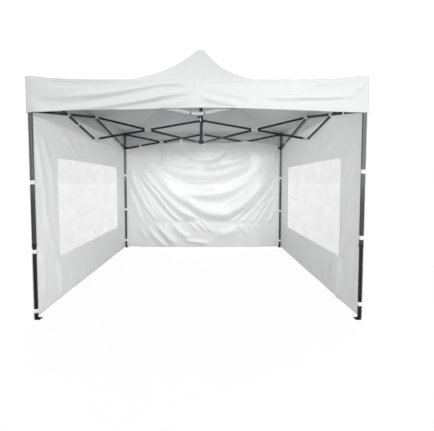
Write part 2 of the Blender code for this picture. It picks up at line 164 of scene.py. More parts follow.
class Recipe:
    """The nodes of a material or of the world. What never varies is set on the shader."""

    def __init__(self, name, kind="materials", shader="Principled BSDF", **constants):
        self.owner = getattr(bpy.data, kind).new(name)
        self.owner.use_nodes = True
        self.tree = self.owner.node_tree
        self.shader = self.tree.nodes[shader]
        self.finish(**constants)

    def join(self, value, socket):
        if isinstance(value, Value):
            self.tree.links.new(value.socket, socket)
        elif value is not None:
            socket.default_value = value

    def node(self, kind, settings, values):
        made = self.tree.nodes.new(kind)
        for name, value in settings.items():
            setattr(made, name, value)
        for name, value in values.items():
            self.join(value, made.inputs[name])
        return made

    def add(self, kind, settings, values, output=0):
        return Value(self, self.node(kind, settings, values).outputs[output])

    def place(self, kind="Object"):
        """Where a point is on the object."""
        return self.add("ShaderNodeTexCoord", {}, {}, kind)

    def cut(self):
        """Where a point of cloth lay on the cutting table, in metres."""
        return self.add("ShaderNodeUVMap", {"uv_map": "UVMap"}, {})

    def parts(self, place):
        """x, y and z of a place; on a cut they are u, v and 0."""
        split = self.node("ShaderNodeSeparateXYZ", {}, {0: place})
        return [Value(self, socket) for socket in split.outputs]

    def noise(self, where, scale, detail=3.0, roughness=0.5):
        values = {"Vector": where, "Scale": scale, "Detail": detail, "Roughness": roughness}
        return self.add("ShaderNodeTexNoise", {}, values, "Fac")

    def attribute(self, name):
        return self.add("ShaderNodeAttribute", {"attribute_name": name}, {}, "Fac")

    def climb(self, value, start, end, low, high):
        """From low to high while the value goes from start to end."""
        sockets = {"Value": value, "From Min": start, "From Max": end, "To Min": low, "To Max": high}
        return self.add("ShaderNodeMapRange", {}, sockets)

    def blend(self, share, first, second):
        """From the first colour to the second one."""
        made = self.node("ShaderNodeMix", {"data_type": "RGBA"}, {0: share})
        self.join(first, made.inputs[6])
        self.join(second, made.inputs[7])
        return Value(self, made.outputs[2])

    def tint(self, tone, shade):
        """A shade that is darker where tone is below 1."""
        return self.blend(tone.held(), BLACK, (*shade, 1))

    def bump(self, height, distance, strength=1.0, under=None):
        values = {"Height": height, "Distance": distance, "Strength": strength, "Normal": under}
        return self.add("ShaderNodeBump", {}, values)

    def finish(self, **inputs):
        for socket, value in inputs.items():
            self.join(value, self.shader.inputs[socket.replace("_", " ")])
        return self.owner


print("shader maths ready")

# %% [markdown]
# ## Coated polyester
# The cover and the walls are a plain weave with a thin white coating: matt, with a faint
# sheen, small creases from the bag that it was packed in, and a doubled hem with two rows
# of stitches wherever it is cut. The weave and the creases are bumps on the cut's own
# coordinates, so that they follow the cloth. Each sheet carries two more numbers: how far
# a point is from the nearest hem or seam, and how far along that seam it is.


# %% Cloth finishes
THREADS = 2094.0  # a thread every 3 mm, as radians in a metre
HEM = 0.030  # how far the cloth is doubled
STITCH_ROWS = (0.005, 0.026)  # from the hem's edge
HALF_STITCH = 0.0007


def coated_cloth(name, shade, crinkle, gloss, painted_glow, glow_fading=0.0):
    """A white weave with a painted glow, which stands for the bright studio behind shining
    through the cloth, and painted shade that makes that glow weaker to the right and below."""
    # The emission is a painted glow for the studio light that shines through the cloth.
    r = Recipe(name, Specular_IOR_Level=0.6, Emission_Strength=painted_glow)
    where = r.cut()
    u, v, _ = r.parts(where)
    hem, run = r.attribute("hem"), r.attribute("run")
    weave = (u * THREADS).wave() * (v * THREADS).wave()
    fine = r.noise(where, 95.0, 4.0, 0.6)
    soft = r.noise(where, 9.0, 5.0, 0.55)
    broad = r.noise(where, 1.7, 2.0, 0.5)
    creases = r.add(
        "ShaderNodeTexVoronoi", {"feature": "DISTANCE_TO_EDGE"},
        {"Vector": where, "Scale": 5.5}, "Distance",
    )
    crease = 1 - (creases * 9.0).held()
    doubled = hem < HEM
    ridge = 1 - (abs(hem - HEM) * 500.0).held()
    outer, inner = (abs(hem - row) < HALF_STITCH for row in STITCH_ROWS)
    stitch = outer.most(inner) * ((run * 260.0).part() < 0.62)
    tone = 0.955 + broad * 0.03 + fine * 0.015 + weave * 0.004 - ridge * 0.05 - stitch * 0.13
    colour = r.tint(tone + doubled * 0.012, shade)
    rough = gloss + soft * 0.14 + weave * 0.02
    folds = soft * 0.6 + crease * 0.22 + fine * 0.12
    normal = r.bump(folds, 0.0042 * crinkle, 0.8)
    normal = r.bump(doubled + stitch * 0.8 + weave * 0.08, 0.0007, 0.7, normal)
    # Painted shade: the painted glow is weaker to the right and below.
    glow_shade = (u * 0.42 + 0.5).held() + (1 - (v * 1.8).held()) * 0.4
    through = r.blend(glow_shade * glow_fading, colour, BLACK)
    return r.finish(Base_Color=colour, Emission_Color=through, Roughness=rough, Normal=normal)


# Each cloth gets its own painted glow; on the side walls it also fades, as painted shade.
cover_cloth = coated_cloth(
    "white_cover_cloth", (0.86, 0.863, 0.867), crinkle=0.8, gloss=0.46, painted_glow=0.01
)
wall_cloth = coated_cloth(
    "white_side_wall_cloth", (0.88, 0.882, 0.885), crinkle=1.0, gloss=0.40, painted_glow=0.25,
    glow_fading=0.6,
)
back_cloth = coated_cloth(
    "white_back_wall_cloth", (0.90, 0.902, 0.905), crinkle=1.0, gloss=0.29, painted_glow=0.08
)


def webbing():
    # The emission is a painted glow that makes the webbing brighter than its light alone would.
    r = Recipe("white_hook_and_loop_webbing", Specular_IOR_Level=0.25, Emission_Strength=0.20)
    where = r.place()
    x, y, z = r.parts(where)
    ribs = ((x + y) * 2600.0).wave() * (z * 2600.0).wave()
    fluff = r.noise(where, 420.0, 4.0, 0.7)
    colour = r.tint(0.93 + fluff * 0.07 + ribs * 0.02, (0.90, 0.90, 0.89))
    normal = r.bump(ribs * 0.4 + fluff * 0.6, 0.0006, 0.8)
    rough = 0.82 + fluff * 0.1
    return r.finish(Base_Color=colour, Emission_Color=colour, Roughness=rough, Normal=normal)


white_webbing = webbing()
print("cloth finishes:", cover_cloth.name, wall_cloth.name, back_cloth.name, white_webbing.name)

# %% [markdown]
# ## Clear film
# The windows are soft PVC film: nearly clear, slightly milky, glossy, and never quite flat.
# Plain transparency with a milky tint shows that in every renderer, so the film's alpha
# carries the haze, the drape and the denser rim, and the roughness stays fairly low.


# %% Window film
def clear_film():
    r = Recipe("clear_window_film", Specular_IOR_Level=0.6, IOR=1.52)
    where = r.cut()
    u, v, _ = r.parts(where)
    rim = 1 - (r.attribute("hem") * 50.0).held()
    haze = r.noise(where, 3.0, 4.0, 0.6)
    pull = r.noise(where, 14.0, 2.0, 0.4)
    drape = (v * 24.0 + u * 5.0 + haze * 26.0).wave() * pull
    milk = 0.14 + haze * 0.10 + drape * 0.022 + rim * 0.40
    colour = r.blend(haze, (0.93, 0.94, 0.945, 1), (0.97, 0.975, 0.98, 1))
    normal = r.bump(haze * 0.8 + pull * 0.2, 0.0012, 0.4)
    return r.finish(Base_Color=colour, Roughness=0.26 + haze * 0.14, Alpha=milk, Normal=normal)


window_film = clear_film()
print("film:", window_film.name)

# %% [markdown]
# ## Powder-coated steel and moulded nylon
# The legs and bars are thin steel with a powder coat: satin, with the faint orange peel of
# a baked coating and a few rubbed streaks. The upper tubes are mid grey, with painted shade
# that makes them darker below half height, and the lower ones nearly black. Nylon fittings
# are moulded, so they have a fine grain and no rub. A bar's crossing sits in a pale nylon
# sleeve: the sleeve is told apart from the bar by its place in the tent, which is the same
# on all four sides.

# %% Powder coats
SIDE_CROSSING = 0.767  # from the middle of a side to where its bars cross
INNER_CROSSING = 0.725  # from the mast to where the inner bars cross
HALF_HEIGHT = 1.05
RUBBED = (0.45, 0.45, 0.45, 1)
PALE_SLEEVE = (0.86, 0.865, 0.865, 1)


def powder_coat(name, shade, sleeves=False, rub=0.05, low=1.0):
    """rub is how much the streaks show, and low the brightness below half height: painted shade."""
    r = Recipe(name, Specular_IOR_Level=0.5, IOR=1.5)
    where = r.place()
    x, y, z = r.parts(where)
    peel = r.noise(where, 900.0, 2.0, 0.5)
    wear = r.noise(where, 14.0, 5.0, 0.65)
    # Painted shade: the colour is darker below half height, by the factor low.
    upper = ((z - HALF_HEIGHT) * 4.0).held()
    tone = (0.86 + wear * 0.18 + peel * 0.05) * (low + (1 - low) * upper)
    streak = (r.noise(where, 60.0, 3.0, 0.6) - 0.62) * 4.0
    colour = r.blend(streak.held() * rub, r.tint(tone, shade), RUBBED)
    rough = 0.34 + wear * 0.16
    metal = 0.35
    if sleeves:
        far, near = abs(x).most(abs(y)), abs(x).least(abs(y))
        side = (far > LEG - 0.05) * (abs(near - SIDE_CROSSING) < 0.036)
        inner = (near < 0.05) * (abs(far - INNER_CROSSING) < 0.043)
        sleeved = side.most(inner)
        colour = r.blend(sleeved, colour, PALE_SLEEVE)
        rough = rough + sleeved * 0.12
        metal = metal - sleeved * metal
    normal = r.bump(peel, 0.0002, 0.5)
    return r.finish(Base_Color=colour, Metallic=metal, Roughness=rough, Normal=normal)


# The grey tubes get painted shade below half height.
upper_tube_coat = powder_coat("satin_grey_tube", (0.185, 0.188, 0.192), low=0.42)
bar_coat = powder_coat("satin_dark_bar", (0.045, 0.046, 0.048), sleeves=True)
lower_tube_coat = powder_coat("satin_black_tube", (0.022, 0.022, 0.024), rub=0.10)
print("coats:", upper_tube_coat.name, bar_coat.name, lower_tube_coat.name)


# %% Nylon and zinc
def nylon(name, shade):
    r = Recipe(name, Specular_IOR_Level=0.45)
    where = r.place()
    grain = r.noise(where, 1500.0, 3.0, 0.6)
    flow = r.noise(where, 22.0, 4.0, 0.6)
    colour = r.tint(0.88 + flow * 0.14 + grain * 0.04, shade)
    normal = r.bump(grain, 0.00025, 0.6)
    return r.finish(Base_Color=colour, Roughness=0.46 + flow * 0.12, Normal=normal)


def zinc():
    r = Recipe("zinc_plated_steel", Metallic=1.0)
    bloom = r.noise(r.place(), 180.0, 4.0, 0.6)
    colour = r.blend(bloom, (0.42, 0.43, 0.44, 1), (0.66, 0.67, 0.68, 1))
    return r.finish(Base_Color=colour, Roughness=0.28 + bloom * 0.2)


black_nylon = nylon("black_moulded_nylon", (0.018, 0.018, 0.019))
# This pale nylon dresses only the front bars' sleeves, which are a painted highlight.
sleeve_highlight_nylon = nylon("moulded_nylon_painted_highlight", (0.56, 0.565, 0.57))
zinc_steel = zinc()
print("fittings:", black_nylon.name, sleeve_highlight_nylon.name, zinc_steel.name)


# %% Two-tone fittings
def connector_nylon():
    """Black ears round a pale middle; the low fitting of the front is pale all over. At the
    front the pale is darker, as painted shade, and the whole fitting has a painted glow.
    """
    # The emission is a painted glow.
    r = Recipe("two_tone_nylon", Specular_IOR_Level=0.45, Emission_Strength=0.16)
    where = r.place()
    x, y, z = r.parts(where)
    grain = r.noise(where, 1500.0, 3.0, 0.6)
    front = y < -LEG + 0.1
    pale = (abs(x).least(abs(y)) < 0.024).most(front * (z < 1.9))
    dark = r.blend(grain, (0.016, 0.016, 0.017, 1), (0.024, 0.024, 0.025, 1))
    # Painted shade: the middles at the front get a darker pale, because more light falls there.
    middle = r.blend(front, (0.74, 0.745, 0.75, 1), (0.44, 0.445, 0.45, 1))
    colour = r.blend(pale, dark, middle)
    normal = r.bump(grain, 0.00025)
    rough = 0.44 + grain * 0.1
    return r.finish(Base_Color=colour, Emission_Color=colour, Roughness=rough, Normal=normal)


mid_nylon = connector_nylon()
print("two-tone fitting:", mid_nylon.name)

# %% Finishes of the solids
FINISHES = {
    "upper_leg": upper_tube_coat,
    "lower_leg": lower_tube_coat,
    "top_bracket": black_nylon,
    "slider": black_nylon,
    "upper_mid": mid_nylon,
    "lower_mid": mid_nylon,
    "bar_": bar_coat,
    "centre_pole": lower_tube_coat,
    "hub": black_nylon,
    "peak_cap": black_nylon,
}
for name, node in nodes.items():
    for start, finish in FINISHES.items():
        if name.startswith(start):
            for slot in node.material_slots:
                slot.material = finish
print("finished solids:", sum(name.startswith(tuple(FINISHES)) for name in nodes))

# %% [markdown]
# ## Working on one piece
# Blender's operators act on all that is selected, so each piece is made with nothing else
# selected. These small helpers add a primitive, apply a modifier and select what an edit
# works on. A few more are added below, where they are first needed.


# %% Adding and finishing a piece
def alone(piece):
    """Only this piece is selected."""
    bpy.ops.object.select_all(action="DESELECT")
    piece.select_set(True)
    bpy.context.view_layer.objects.active = piece


def begin(primitive, **sizes):
    """A new primitive, with nothing else selected."""
    bpy.ops.object.select_all(action="DESELECT")
    primitive(**sizes)
    return bpy.context.object


def grid(lines_across, lines_up):
    """A grid from -1 to 1 with this many lines each way."""
    return begin(
        bpy.ops.mesh.primitive_grid_add, x_subdivisions=lines_across - 1,
        y_subdivisions=lines_up - 1, size=2, location=(0, 0, 0),
    )


def apply(piece, kind, **settings):
    """Adds a modifier with these settings and applies it."""
    alone(piece)
    modifier = piece.modifiers.new(kind, kind)
    for name, value in settings.items():
        setattr(modifier, name, value)
    bpy.ops.object.modifier_apply(modifier=modifier.name)


print("pieces can be added and finished")


# %% Selecting in edit mode
def done():
    bpy.ops.object.mode_set(mode="OBJECT")


def edit(piece, kind):
    """Edit mode with nothing selected; gives the mesh that is edited."""
    if bpy.context.mode != "OBJECT":
        done()
    alone(piece)
    bpy.ops.object.mode_set(mode="EDIT")
    bpy.ops.mesh.select_all(action="DESELECT")
    bpy.ops.mesh.select_mode(type=kind)
    return bmesh.from_edit_mesh(piece.data)


def select(piece, items, test):
    for item in items:
        item.select_set(bool(test(item)))
    bmesh.update_edit_mesh(piece.data)


print("faces and edges can be selected")

# %% [markdown]
# ## Sheets of cloth
# A sheet starts as a grid primitive. Each of its lines stands for a line on the cutting
# table, and every crossing is moved to its place in the hung cloth. The cut's coordinates
# are kept as the UV map. A last Solidify gives the sheet a little thickness, because light
# falls wrongly on an edge that has none.

# %% Making a sheet
FAR = 9.0  # a distance that is past every hem and seam


def seams_at(*seams):
    """Distance to the nearest of several seams, and the place along it."""
    nearest = np.full_like(seams[0][0], FAR)
    along = np.zeros_like(nearest)
    for gap, run in seams:
        closer = gap < nearest
        nearest, along = np.where(closer, gap, nearest), np.where(closer, run, along)
    return nearest, along


def keep_numbers(mesh, name, values):
    layer = mesh.attributes.new(name, "FLOAT", "POINT")
    layer.data.foreach_set("value", np.ascontiguousarray(values, np.float32))


def numbers(items, name, width, kind=np.float32):
    """One property of a mesh's points, corners or faces, with a row for each."""
    flat = np.empty(len(items) * width, kind)
    items.foreach_get(name, flat)
    return flat.reshape(-1, width)


def on_lines(place, cuts):
    """Which of the cut's lines each of the grid's points is on."""
    return cuts[np.rint((place + 1) / 2 * (len(cuts) - 1)).astype(int)]


def cut_away(piece, hole):
    """Deletes the faces whose middle on the cutting table lies in the hole."""
    mesh = edit(piece, "FACE")
    uv = mesh.loops.layers.uv.active

    def cut_out(face):
        spot = sum((loop[uv].uv for loop in face.loops), Vector((0, 0))) / len(face.loops)
        return hole(spot.x, spot.y)

    select(piece, mesh.faces, cut_out)
    bpy.ops.mesh.delete(type="FACE")
    done()


def sheet(name, us, vs, hang, seams, finish, outward, thickness=0.0009, hole=None):
    """us, vs: the cut's lines in metres. hang(u, v) gives places, seams(u, v) distance and run."""
    piece = grid(len(us), len(vs))
    piece.name = piece.data.name = name
    mesh = piece.data
    flat = numbers(mesh.vertices, "co", 3)
    u, v = on_lines(flat[:, 0], us), on_lines(flat[:, 1], vs)
    mesh.vertices.foreach_set("co", np.stack(hang(u, v), 1).astype(np.float32).ravel())
    corner = numbers(mesh.loops, "vertex_index", 1, np.int32)[:, 0]
    layer = mesh.uv_layers.active
    layer.name = "UVMap"
    layer.data.foreach_set("uv", np.stack([u, v], 1)[corner].astype(np.float32).ravel())
    hem, run = seams(u, v)
    keep_numbers(mesh, "hem", hem)
    keep_numbers(mesh, "run", run)
    mesh.update()
    if hole:
        cut_away(piece, hole)
    normals, centres = numbers(mesh.polygons, "normal", 3), numbers(mesh.polygons, "center", 3)
    if (normals * outward(centres)).sum() < 0:
        mesh.flip_normals()
    apply(piece, "SOLIDIFY", thickness=thickness, offset=-1.0)
    bpy.ops.object.shade_smooth()
    mesh.materials.append(finish)
    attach(piece, "tent")
    print(name, "faces", len(mesh.polygons))
    return piece


print("sheets can be made")

# %% [markdown]
# ## Folds
# A fold is drawn as a hand would draw it: a smooth line through a few points on the cloth,
# with a width, a height and a lean. Tables of such lines make the folds that the photograph
# shows. Between them, a sum of slow waves keeps the cloth from being perfectly even.


# %% Drawing folds
def through(points, steps=8):
    """A smooth line through a few points, as a hand would draw it."""
    p = np.array(points, float)
    p = np.vstack([2 * p[0] - p[1], p, 2 * p[-1] - p[-2]])
    t = np.linspace(0, 1, steps, endpoint=False)[:, None]
    spans = []
    for a, b, c, d in zip(p, p[1:], p[2:], p[3:]):
        spans.append(
            b + (c - a) * t / 2 + (2 * a - 5 * b + 4 * c - d) * t**2 / 2
            + (3 * b - 3 * c + d - a) * t**3 / 2
        )
    return np.vstack([*spans, p[-2][None]])


def fold(u, v, points, width, height, lean=0.0, fade=0.3):
    """A soft ridge along a line, wider on one side with lean, which dies away at both ends."""
    line = through(points)
    steps = np.diff(line, axis=0)
    lengths = np.hypot(steps[:, 0], steps[:, 1])
    nearest, along = np.full(u.shape, np.inf), np.zeros(u.shape)
    side = np.zeros(u.shape)
    gone = 0.0
    for start, step, length in zip(line, steps, lengths):
        du, dv = u - start[0], v - start[1]
        t = np.clip((du * step[0] + dv * step[1]) / length**2, 0, 1)
        gap = np.hypot(du - t * step[0], dv - t * step[1])
        closer = gap < nearest
        nearest = np.where(closer, gap, nearest)
        along = np.where(closer, (gone + t * length) / lengths.sum(), along)
        side = np.where(closer, np.sign(step[0] * dv - step[1] * du), side)
        gone += length
    wide = np.array(width, float)
    wide = wide if wide.ndim == 0 else wide[0] + (wide[1] - wide[0]) * along
    wide = wide * (1 + lean * side)
    ends = ease(0, fade, along) * ease(0, fade, 1 - along)
    return height * np.exp(-((nearest / wide) ** 2)) * ends


def drawn(rows, u, v, fade=0.3):
    """All folds of a table; a row is a line's points, its width, its height and its lean."""
    return sum(fold(u, v, points, *sizes, fade) for points, *sizes in rows)


def ripple(u, v, seed, longest, waves=9):
    """Gentle unevenness: a fixed sum of waves in all directions, about -1 to 1."""
    rng = np.random.default_rng(seed)
    total = np.zeros(u.shape)
    weight = 0.0
    for _ in range(waves):
        turn, size, shift = rng.uniform(0, math.pi), rng.uniform(0.35, 1.0), rng.uniform(0, 7)
        k = 2 * math.pi / (longest * size)
        total += size * np.sin(k * (u * math.cos(turn) + v * math.sin(turn)) + shift)
        weight += size
    return total / weight * 2


print("folds can be drawn")

# %% [markdown]
# ## The cover's roof
# Four gores are sewn together along the hips and are held up by the mast in the middle and
# by the frame along the edge. Cloth under such a load is hollow between the hips: it rises
# slowly from the eave and steeply to the peak. One formula gives that height from the
# distance to the middle, and the folds that run from the peak and the corners are added.

# %% The roof sheet
PEAK_DISC = 0.017  # share of the half width that the mast's cap holds flat
STEEP = (2.19, 2.70)  # how steeply the roof leaves the peak: left and right
HAUNCH = (0.94, 2.29)  # how full it stays towards the eave: left and right
HOLLOW = 0.232  # how far the cloth between the hips is hollow
EAVE_SAG = 0.034  # of the cover's edge, in the middle of a side
FRAME_STEP = 0.036  # how much the tubes under the cover's edge lift it
CREASE = 0.0022  # height of the finest creases and puckers
PATCH = 0.16  # radius of the round patch under the peak
ON_FRAME = 0.93  # share of the half width where the cloth lies on the tubes


def roof_height(x, y):
    """big is 0 at the peak and 1 at the edge; small / big is 0 amid a side and 1 on a hip."""
    big = np.maximum(np.maximum(abs(x), abs(y)) / EDGE, 1e-4)
    small = np.minimum(abs(x), abs(y)) / EDGE
    tilt = ease(-0.6, 0.6, x / (np.hypot(x, y) + 0.02))
    steep, haunch = (a + (b - a) * tilt for a, b in (STEEP, HAUNCH))
    reach = 1 - np.maximum(big - PEAK_DISC, 0)
    rise = (PEAK - EAVE) * (np.clip(reach, 0, 1) ** steep) + haunch * big**3 * (1 - big) ** 2
    rise = rise - (PEAK - EAVE) * PEAK_DISC**2.57 * big**4
    slack = EAVE_SAG * big**2 + HOLLOW * big * (1 - big)
    ridge = np.minimum(small / big, 1) ** (2 + 4 * big**4)
    step = FRAME_STEP * (1 - big ** (60 - 34 * small / big)) * big**6
    return EAVE + rise - slack * (1 - ridge) + step


def roof_folds(x, y):
    """Tension lines from the peak, slow waves, and puckers where the cloth lies on the frame."""
    big = np.maximum(abs(x), abs(y)) / EDGE
    turn = np.arctan2(y, x)
    free = ease(0.04, 0.25, big) * ease(0.0, 0.10, 1 - big)
    pulls = np.cos(turn * 28 + 2 * np.sin(3 * turn))
    tension = pulls * CREASE * free * ease(0, 0.7, 1 - big)
    soft = ripple(x, y, 4, 0.75) * 0.0045 * free
    edge_free = ease(0.0, 0.012, 1 - big)
    frame_line = np.exp(-(((big - ON_FRAME) / 0.05) ** 2)) * edge_free
    small = np.minimum(abs(x), abs(y))
    pucker = np.cos(small * 34 + np.sign(x) * 2 + np.sign(y)) * CREASE * frame_line
    front_right = ease(0.35, 0.6, x) * ease(0.9, 0.97, -y / EDGE) * edge_free
    dashes = np.cos(x * 41) * 0.0035 * front_right
    return tension + soft + pucker + dashes


def roof_hang(x, y):
    return x, y, roof_height(x, y) + roof_folds(x, y)


def roof_seams(x, y):
    gap = abs(abs(x) - abs(y)) / math.sqrt(2)
    hip = (gap, np.hypot(x, y))
    edge = (EDGE - np.maximum(abs(x), abs(y)), np.where(abs(x) > abs(y), y, x))
    middle = (np.minimum(abs(x), abs(y)) + 0.010, np.maximum(abs(x), abs(y)))
    patch = (abs(np.hypot(x, y) - PATCH) + 0.004, np.arctan2(y, x) * PATCH)
    return seams_at(hip, edge, middle, patch)


lines = np.linspace(-EDGE, EDGE, 197)
roof = sheet(
    "cover_roof", lines, lines, roof_hang, roof_seams, cover_cloth, lambda c: (0, 0, 1)
)
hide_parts("canopy_roof")

# %% [markdown]
# ## The valance
# A strip a foot deep is sewn to the roof's edge and hangs free. It is one band round the
# tent with a seam in the middle of each side. Its top follows the eave and its hem is
# pulled up in the middle. The folds are drawn as a few lines on the flat strip: on the
# front, long folds run from the lower left corner up to the middle.

# %% The valance sheet
DROP = EAVE - VALANCE_LOW
BELOW_ROOF = 0.0010  # the band starts just under the roof's edge
HEM_RISE = 0.043  # how much the hem is pulled up in the middle of a side


def eave(n):
    return EAVE - EAVE_SAG * (1 - abs(n) ** 6)


def hem_line(n):
    return VALANCE_LOW + HEM_RISE * (1 - abs(n) ** 1.2)


FRONT_FOLDS = (
    ([(-1.42, -0.290), (-1.10, -0.264), (-0.85, -0.230), (-0.60, -0.178), (-0.35, -0.108),
      (-0.06, -0.045)], (0.030, 0.034), -0.038, 0.2),
    ([(-1.25, -0.195), (-0.86, -0.150), (-0.55, -0.100), (-0.30, -0.055), (0.0, -0.02)],
     0.036, 0.022, -0.3),
    ([(-1.43, -0.300), (-1.00, -0.282), (-0.60, -0.240), (-0.30, -0.175), (0.0, -0.095)],
     0.028, 0.024, -0.3),
    ([(-0.75, -0.290), (-0.45, -0.262), (-0.22, -0.210), (-0.03, -0.150)], 0.024, -0.014, 0.0),
    ([(-0.35, -0.290), (-0.15, -0.250), (0.0, -0.200)], 0.026, 0.010, 0.0),
    ([(-1.40, -0.225), (-1.15, -0.205), (-0.90, -0.170)], 0.024, -0.012, 0.0),
    ([(-1.30, -0.025), (-1.00, -0.038), (-0.65, -0.028)], 0.026, -0.013, 0.0),
    ([(-0.95, -0.085), (-0.80, -0.090), (-0.62, -0.075)], 0.024, -0.008, 0.0),
    ([(0.02, -0.120), (0.12, -0.165), (0.26, -0.205), (0.44, -0.235)], 0.026, -0.016, 0.3),
    ([(0.03, -0.180), (0.16, -0.235), (0.38, -0.280)], 0.024, 0.013, 0.0),
    ([(0.02, -0.032), (0.40, -0.038), (0.80, -0.052)], 0.022, -0.010, 0.0),
    ([(0.98, -0.072), (1.20, -0.084), (1.42, -0.070)], 0.018, -0.014, 0.0),
    ([(0.70, -0.130), (1.00, -0.145), (1.32, -0.120)], 0.022, -0.012, 0.0),
    ([(0.82, -0.212), (1.10, -0.222), (1.38, -0.208)], 0.022, -0.018, 0.2),
    ([(0.50, -0.190), (0.90, -0.180), (1.38, -0.165)], 0.028, 0.013, 0.0),
    ([(1.43, -0.06), (1.33, -0.14), (1.30, -0.26)], 0.026, 0.008, 0.0),
)


def front_folds(n, s):
    """Outward, in metres; n runs -1 to 1 along the side and s from the eave (0) to the hem (1)."""
    return drawn(FRONT_FOLDS, n * EDGE, -s * DROP, 0.22)


def side_folds(n, s, seed, count=9):
    """The sides that the photograph hides get folds of the same kind, drawn by chance."""
    u, v = n * EDGE, -s * DROP
    rng = np.random.default_rng(seed)
    total = np.zeros(u.shape)
    for _ in range(count):
        start, across = rng.uniform(-1.3, 0.9), rng.uniform(0.25, 0.9)
        high, fall = rng.uniform(-0.26, -0.05), rng.uniform(-0.10, 0.10)
        points = [(start, high), (start + across / 2, high + fall * 0.6), (start + across, high + fall)]
        total += fold(u, v, points, rng.uniform(0.022, 0.038), rng.uniform(-0.018, 0.018))
    return total


def valance_hang(u, v):
    """u goes round the tent from the front's left corner, and v from the eave down."""
    side = np.clip(np.floor((u + EDGE) / (2 * EDGE)), 0, 3).astype(int)
    n = (u - side * 2 * EDGE) / EDGE
    s = -v / DROP
    out = np.zeros(u.shape)
    for index in range(4):
        folds = front_folds(n, s) if index == 0 else side_folds(n, s, 10 + index)
        out = np.where(side == index, folds, out)
    out += ripple(u, v * 2.2, 8, 0.7) * 0.003
    swing = 0.012 * s**1.5 * np.sin(n * 5.1 + side * 1.7) + 0.004 * s
    free = ease(0, 0.10, s) * ease(0, 0.05, 1 - abs(n))
    out = (out + swing) * free
    clear_of_frame = -0.0015 - 0.004 * ease(0.03, 0.25, 1 - abs(n)) * (side == 0)
    out = np.maximum(out, clear_of_frame)
    top = eave(n) - BELOW_ROOF
    z = top + (hem_line(n) - top) * s
    x, y = n * EDGE, -EDGE - out
    turn = side * math.pi / 2
    return x * np.cos(turn) - y * np.sin(turn), x * np.sin(turn) + y * np.cos(turn), z


def valance_seams(u, v):
    n = (u + EDGE) % (2 * EDGE) - EDGE
    hem = (DROP + v, u)
    corner = (EDGE - abs(n), v)
    middle = (abs(n) + 0.012, v)
    top = (-v + 0.004, u)
    return seams_at(hem, corner, middle, top)


def spread(count, half, lean=1.35):
    """Lines from -half to half that lie closer together towards both ends."""
    t = np.linspace(-1, 1, count)
    return half * np.sign(t) * (1 - (1 - abs(t)) ** lean)


side_lines = spread(150, EDGE, 1.15)
around = np.concatenate([side_lines[:-1] + 2 * EDGE * k for k in range(4)] + [[7 * EDGE]])
down = -DROP * np.linspace(1, 0, 31)
valance = sheet(
    "cover_valance", around, down, valance_hang, valance_seams, cover_cloth,
    lambda c: c * [1, 1, 0],
)
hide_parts("canopy_valance")

# %% [markdown]
# ## The side walls
# Each wall is a rectangle of cloth that hangs outside the legs, with a large window in it.
# The window's cloth is cut away from the grid, and the corners of the hole are rounded by
# moving the grid's own lines onto an arc. The front strip hangs in soft upright folds,
# where the cloth is gathered by the straps.

# %% Outline of a side wall and its window
WALL_LOW = 0.010  # just above the ground
WALL_TOP = ((0.0, 1.950), (0.45, 1.960), (0.90, 1.960), (1.16, 1.930), (1.34, 1.860), (1.44, 1.815))
WALL_HALF = LEG + 0.0168  # half its width: it covers the legs
CUT_TOP = 2.0  # the cut's last line; the lines below it are spread to the wall's real top
WINDOW_HALF, WINDOW_LOW, WINDOW_HIGH, WINDOW_ROUND = 0.980, 0.455, 1.480, 0.035
WINDOW_MIDDLE = (WINDOW_LOW + WINDOW_HIGH) / 2
WINDOW_RISE = (WINDOW_HIGH - WINDOW_LOW) / 2  # half its height
WINDOW_US = np.linspace(-WINDOW_HALF, WINDOW_HALF, 126)
WINDOW_VS = np.linspace(WINDOW_LOW, WINDOW_HIGH, 70)


def wall_top(u):
    at, height = np.array(WALL_TOP).T
    return np.interp(abs(u), at, height)


def up_to(top, start, v):
    """Height of a cut's line v and how far it is below the top; lines above start are spread."""
    share = np.clip((v - start) / (CUT_TOP - start), 0, 1)
    z = np.where(v > start, start + share * (top - start), v)
    return z, (1 - share) * (top - start) + (v < start) * FAR


def window_gap(u, z):
    """Distance outside the window's rounded outline; below 0 inside it."""
    a = abs(u) - WINDOW_HALF + WINDOW_ROUND
    b = abs(z - WINDOW_MIDDLE) - WINDOW_RISE + WINDOW_ROUND
    return np.hypot(np.maximum(a, 0), np.maximum(b, 0)) + np.minimum(np.maximum(a, b), 0) - WINDOW_ROUND


def round_the_window(u, z):
    """Moves the grid's points near the hole's corners onto its rounded corners."""
    ax, az = WINDOW_HALF - WINDOW_ROUND, WINDOW_RISE - WINDOW_ROUND
    a, b = abs(u) - ax, abs(z - WINDOW_MIDDLE) - az
    reach = 3 * WINDOW_ROUND
    near = (np.minimum(a, b) > 1e-6) & (np.maximum(a, b) < reach)
    square = np.maximum(np.maximum(a, b), 1e-9)
    arc = WINDOW_ROUND / np.maximum(np.hypot(a, b), 1e-9)
    pull = np.where(near, 1 - ease(WINDOW_ROUND, reach, square), 0)
    grow = 1 + pull * (arc * square / WINDOW_ROUND - 1)
    a, b = np.where(near, a * grow, a), np.where(near, b * grow, b)
    u = np.where(near, np.sign(u) * (a + ax), u)
    return u, np.where(near, np.sign(z - WINDOW_MIDDLE) * (b + az) + WINDOW_MIDDLE, z)


print("side wall", round(2 * WALL_HALF, 3), "m wide, window", 2 * WINDOW_HALF, "m")

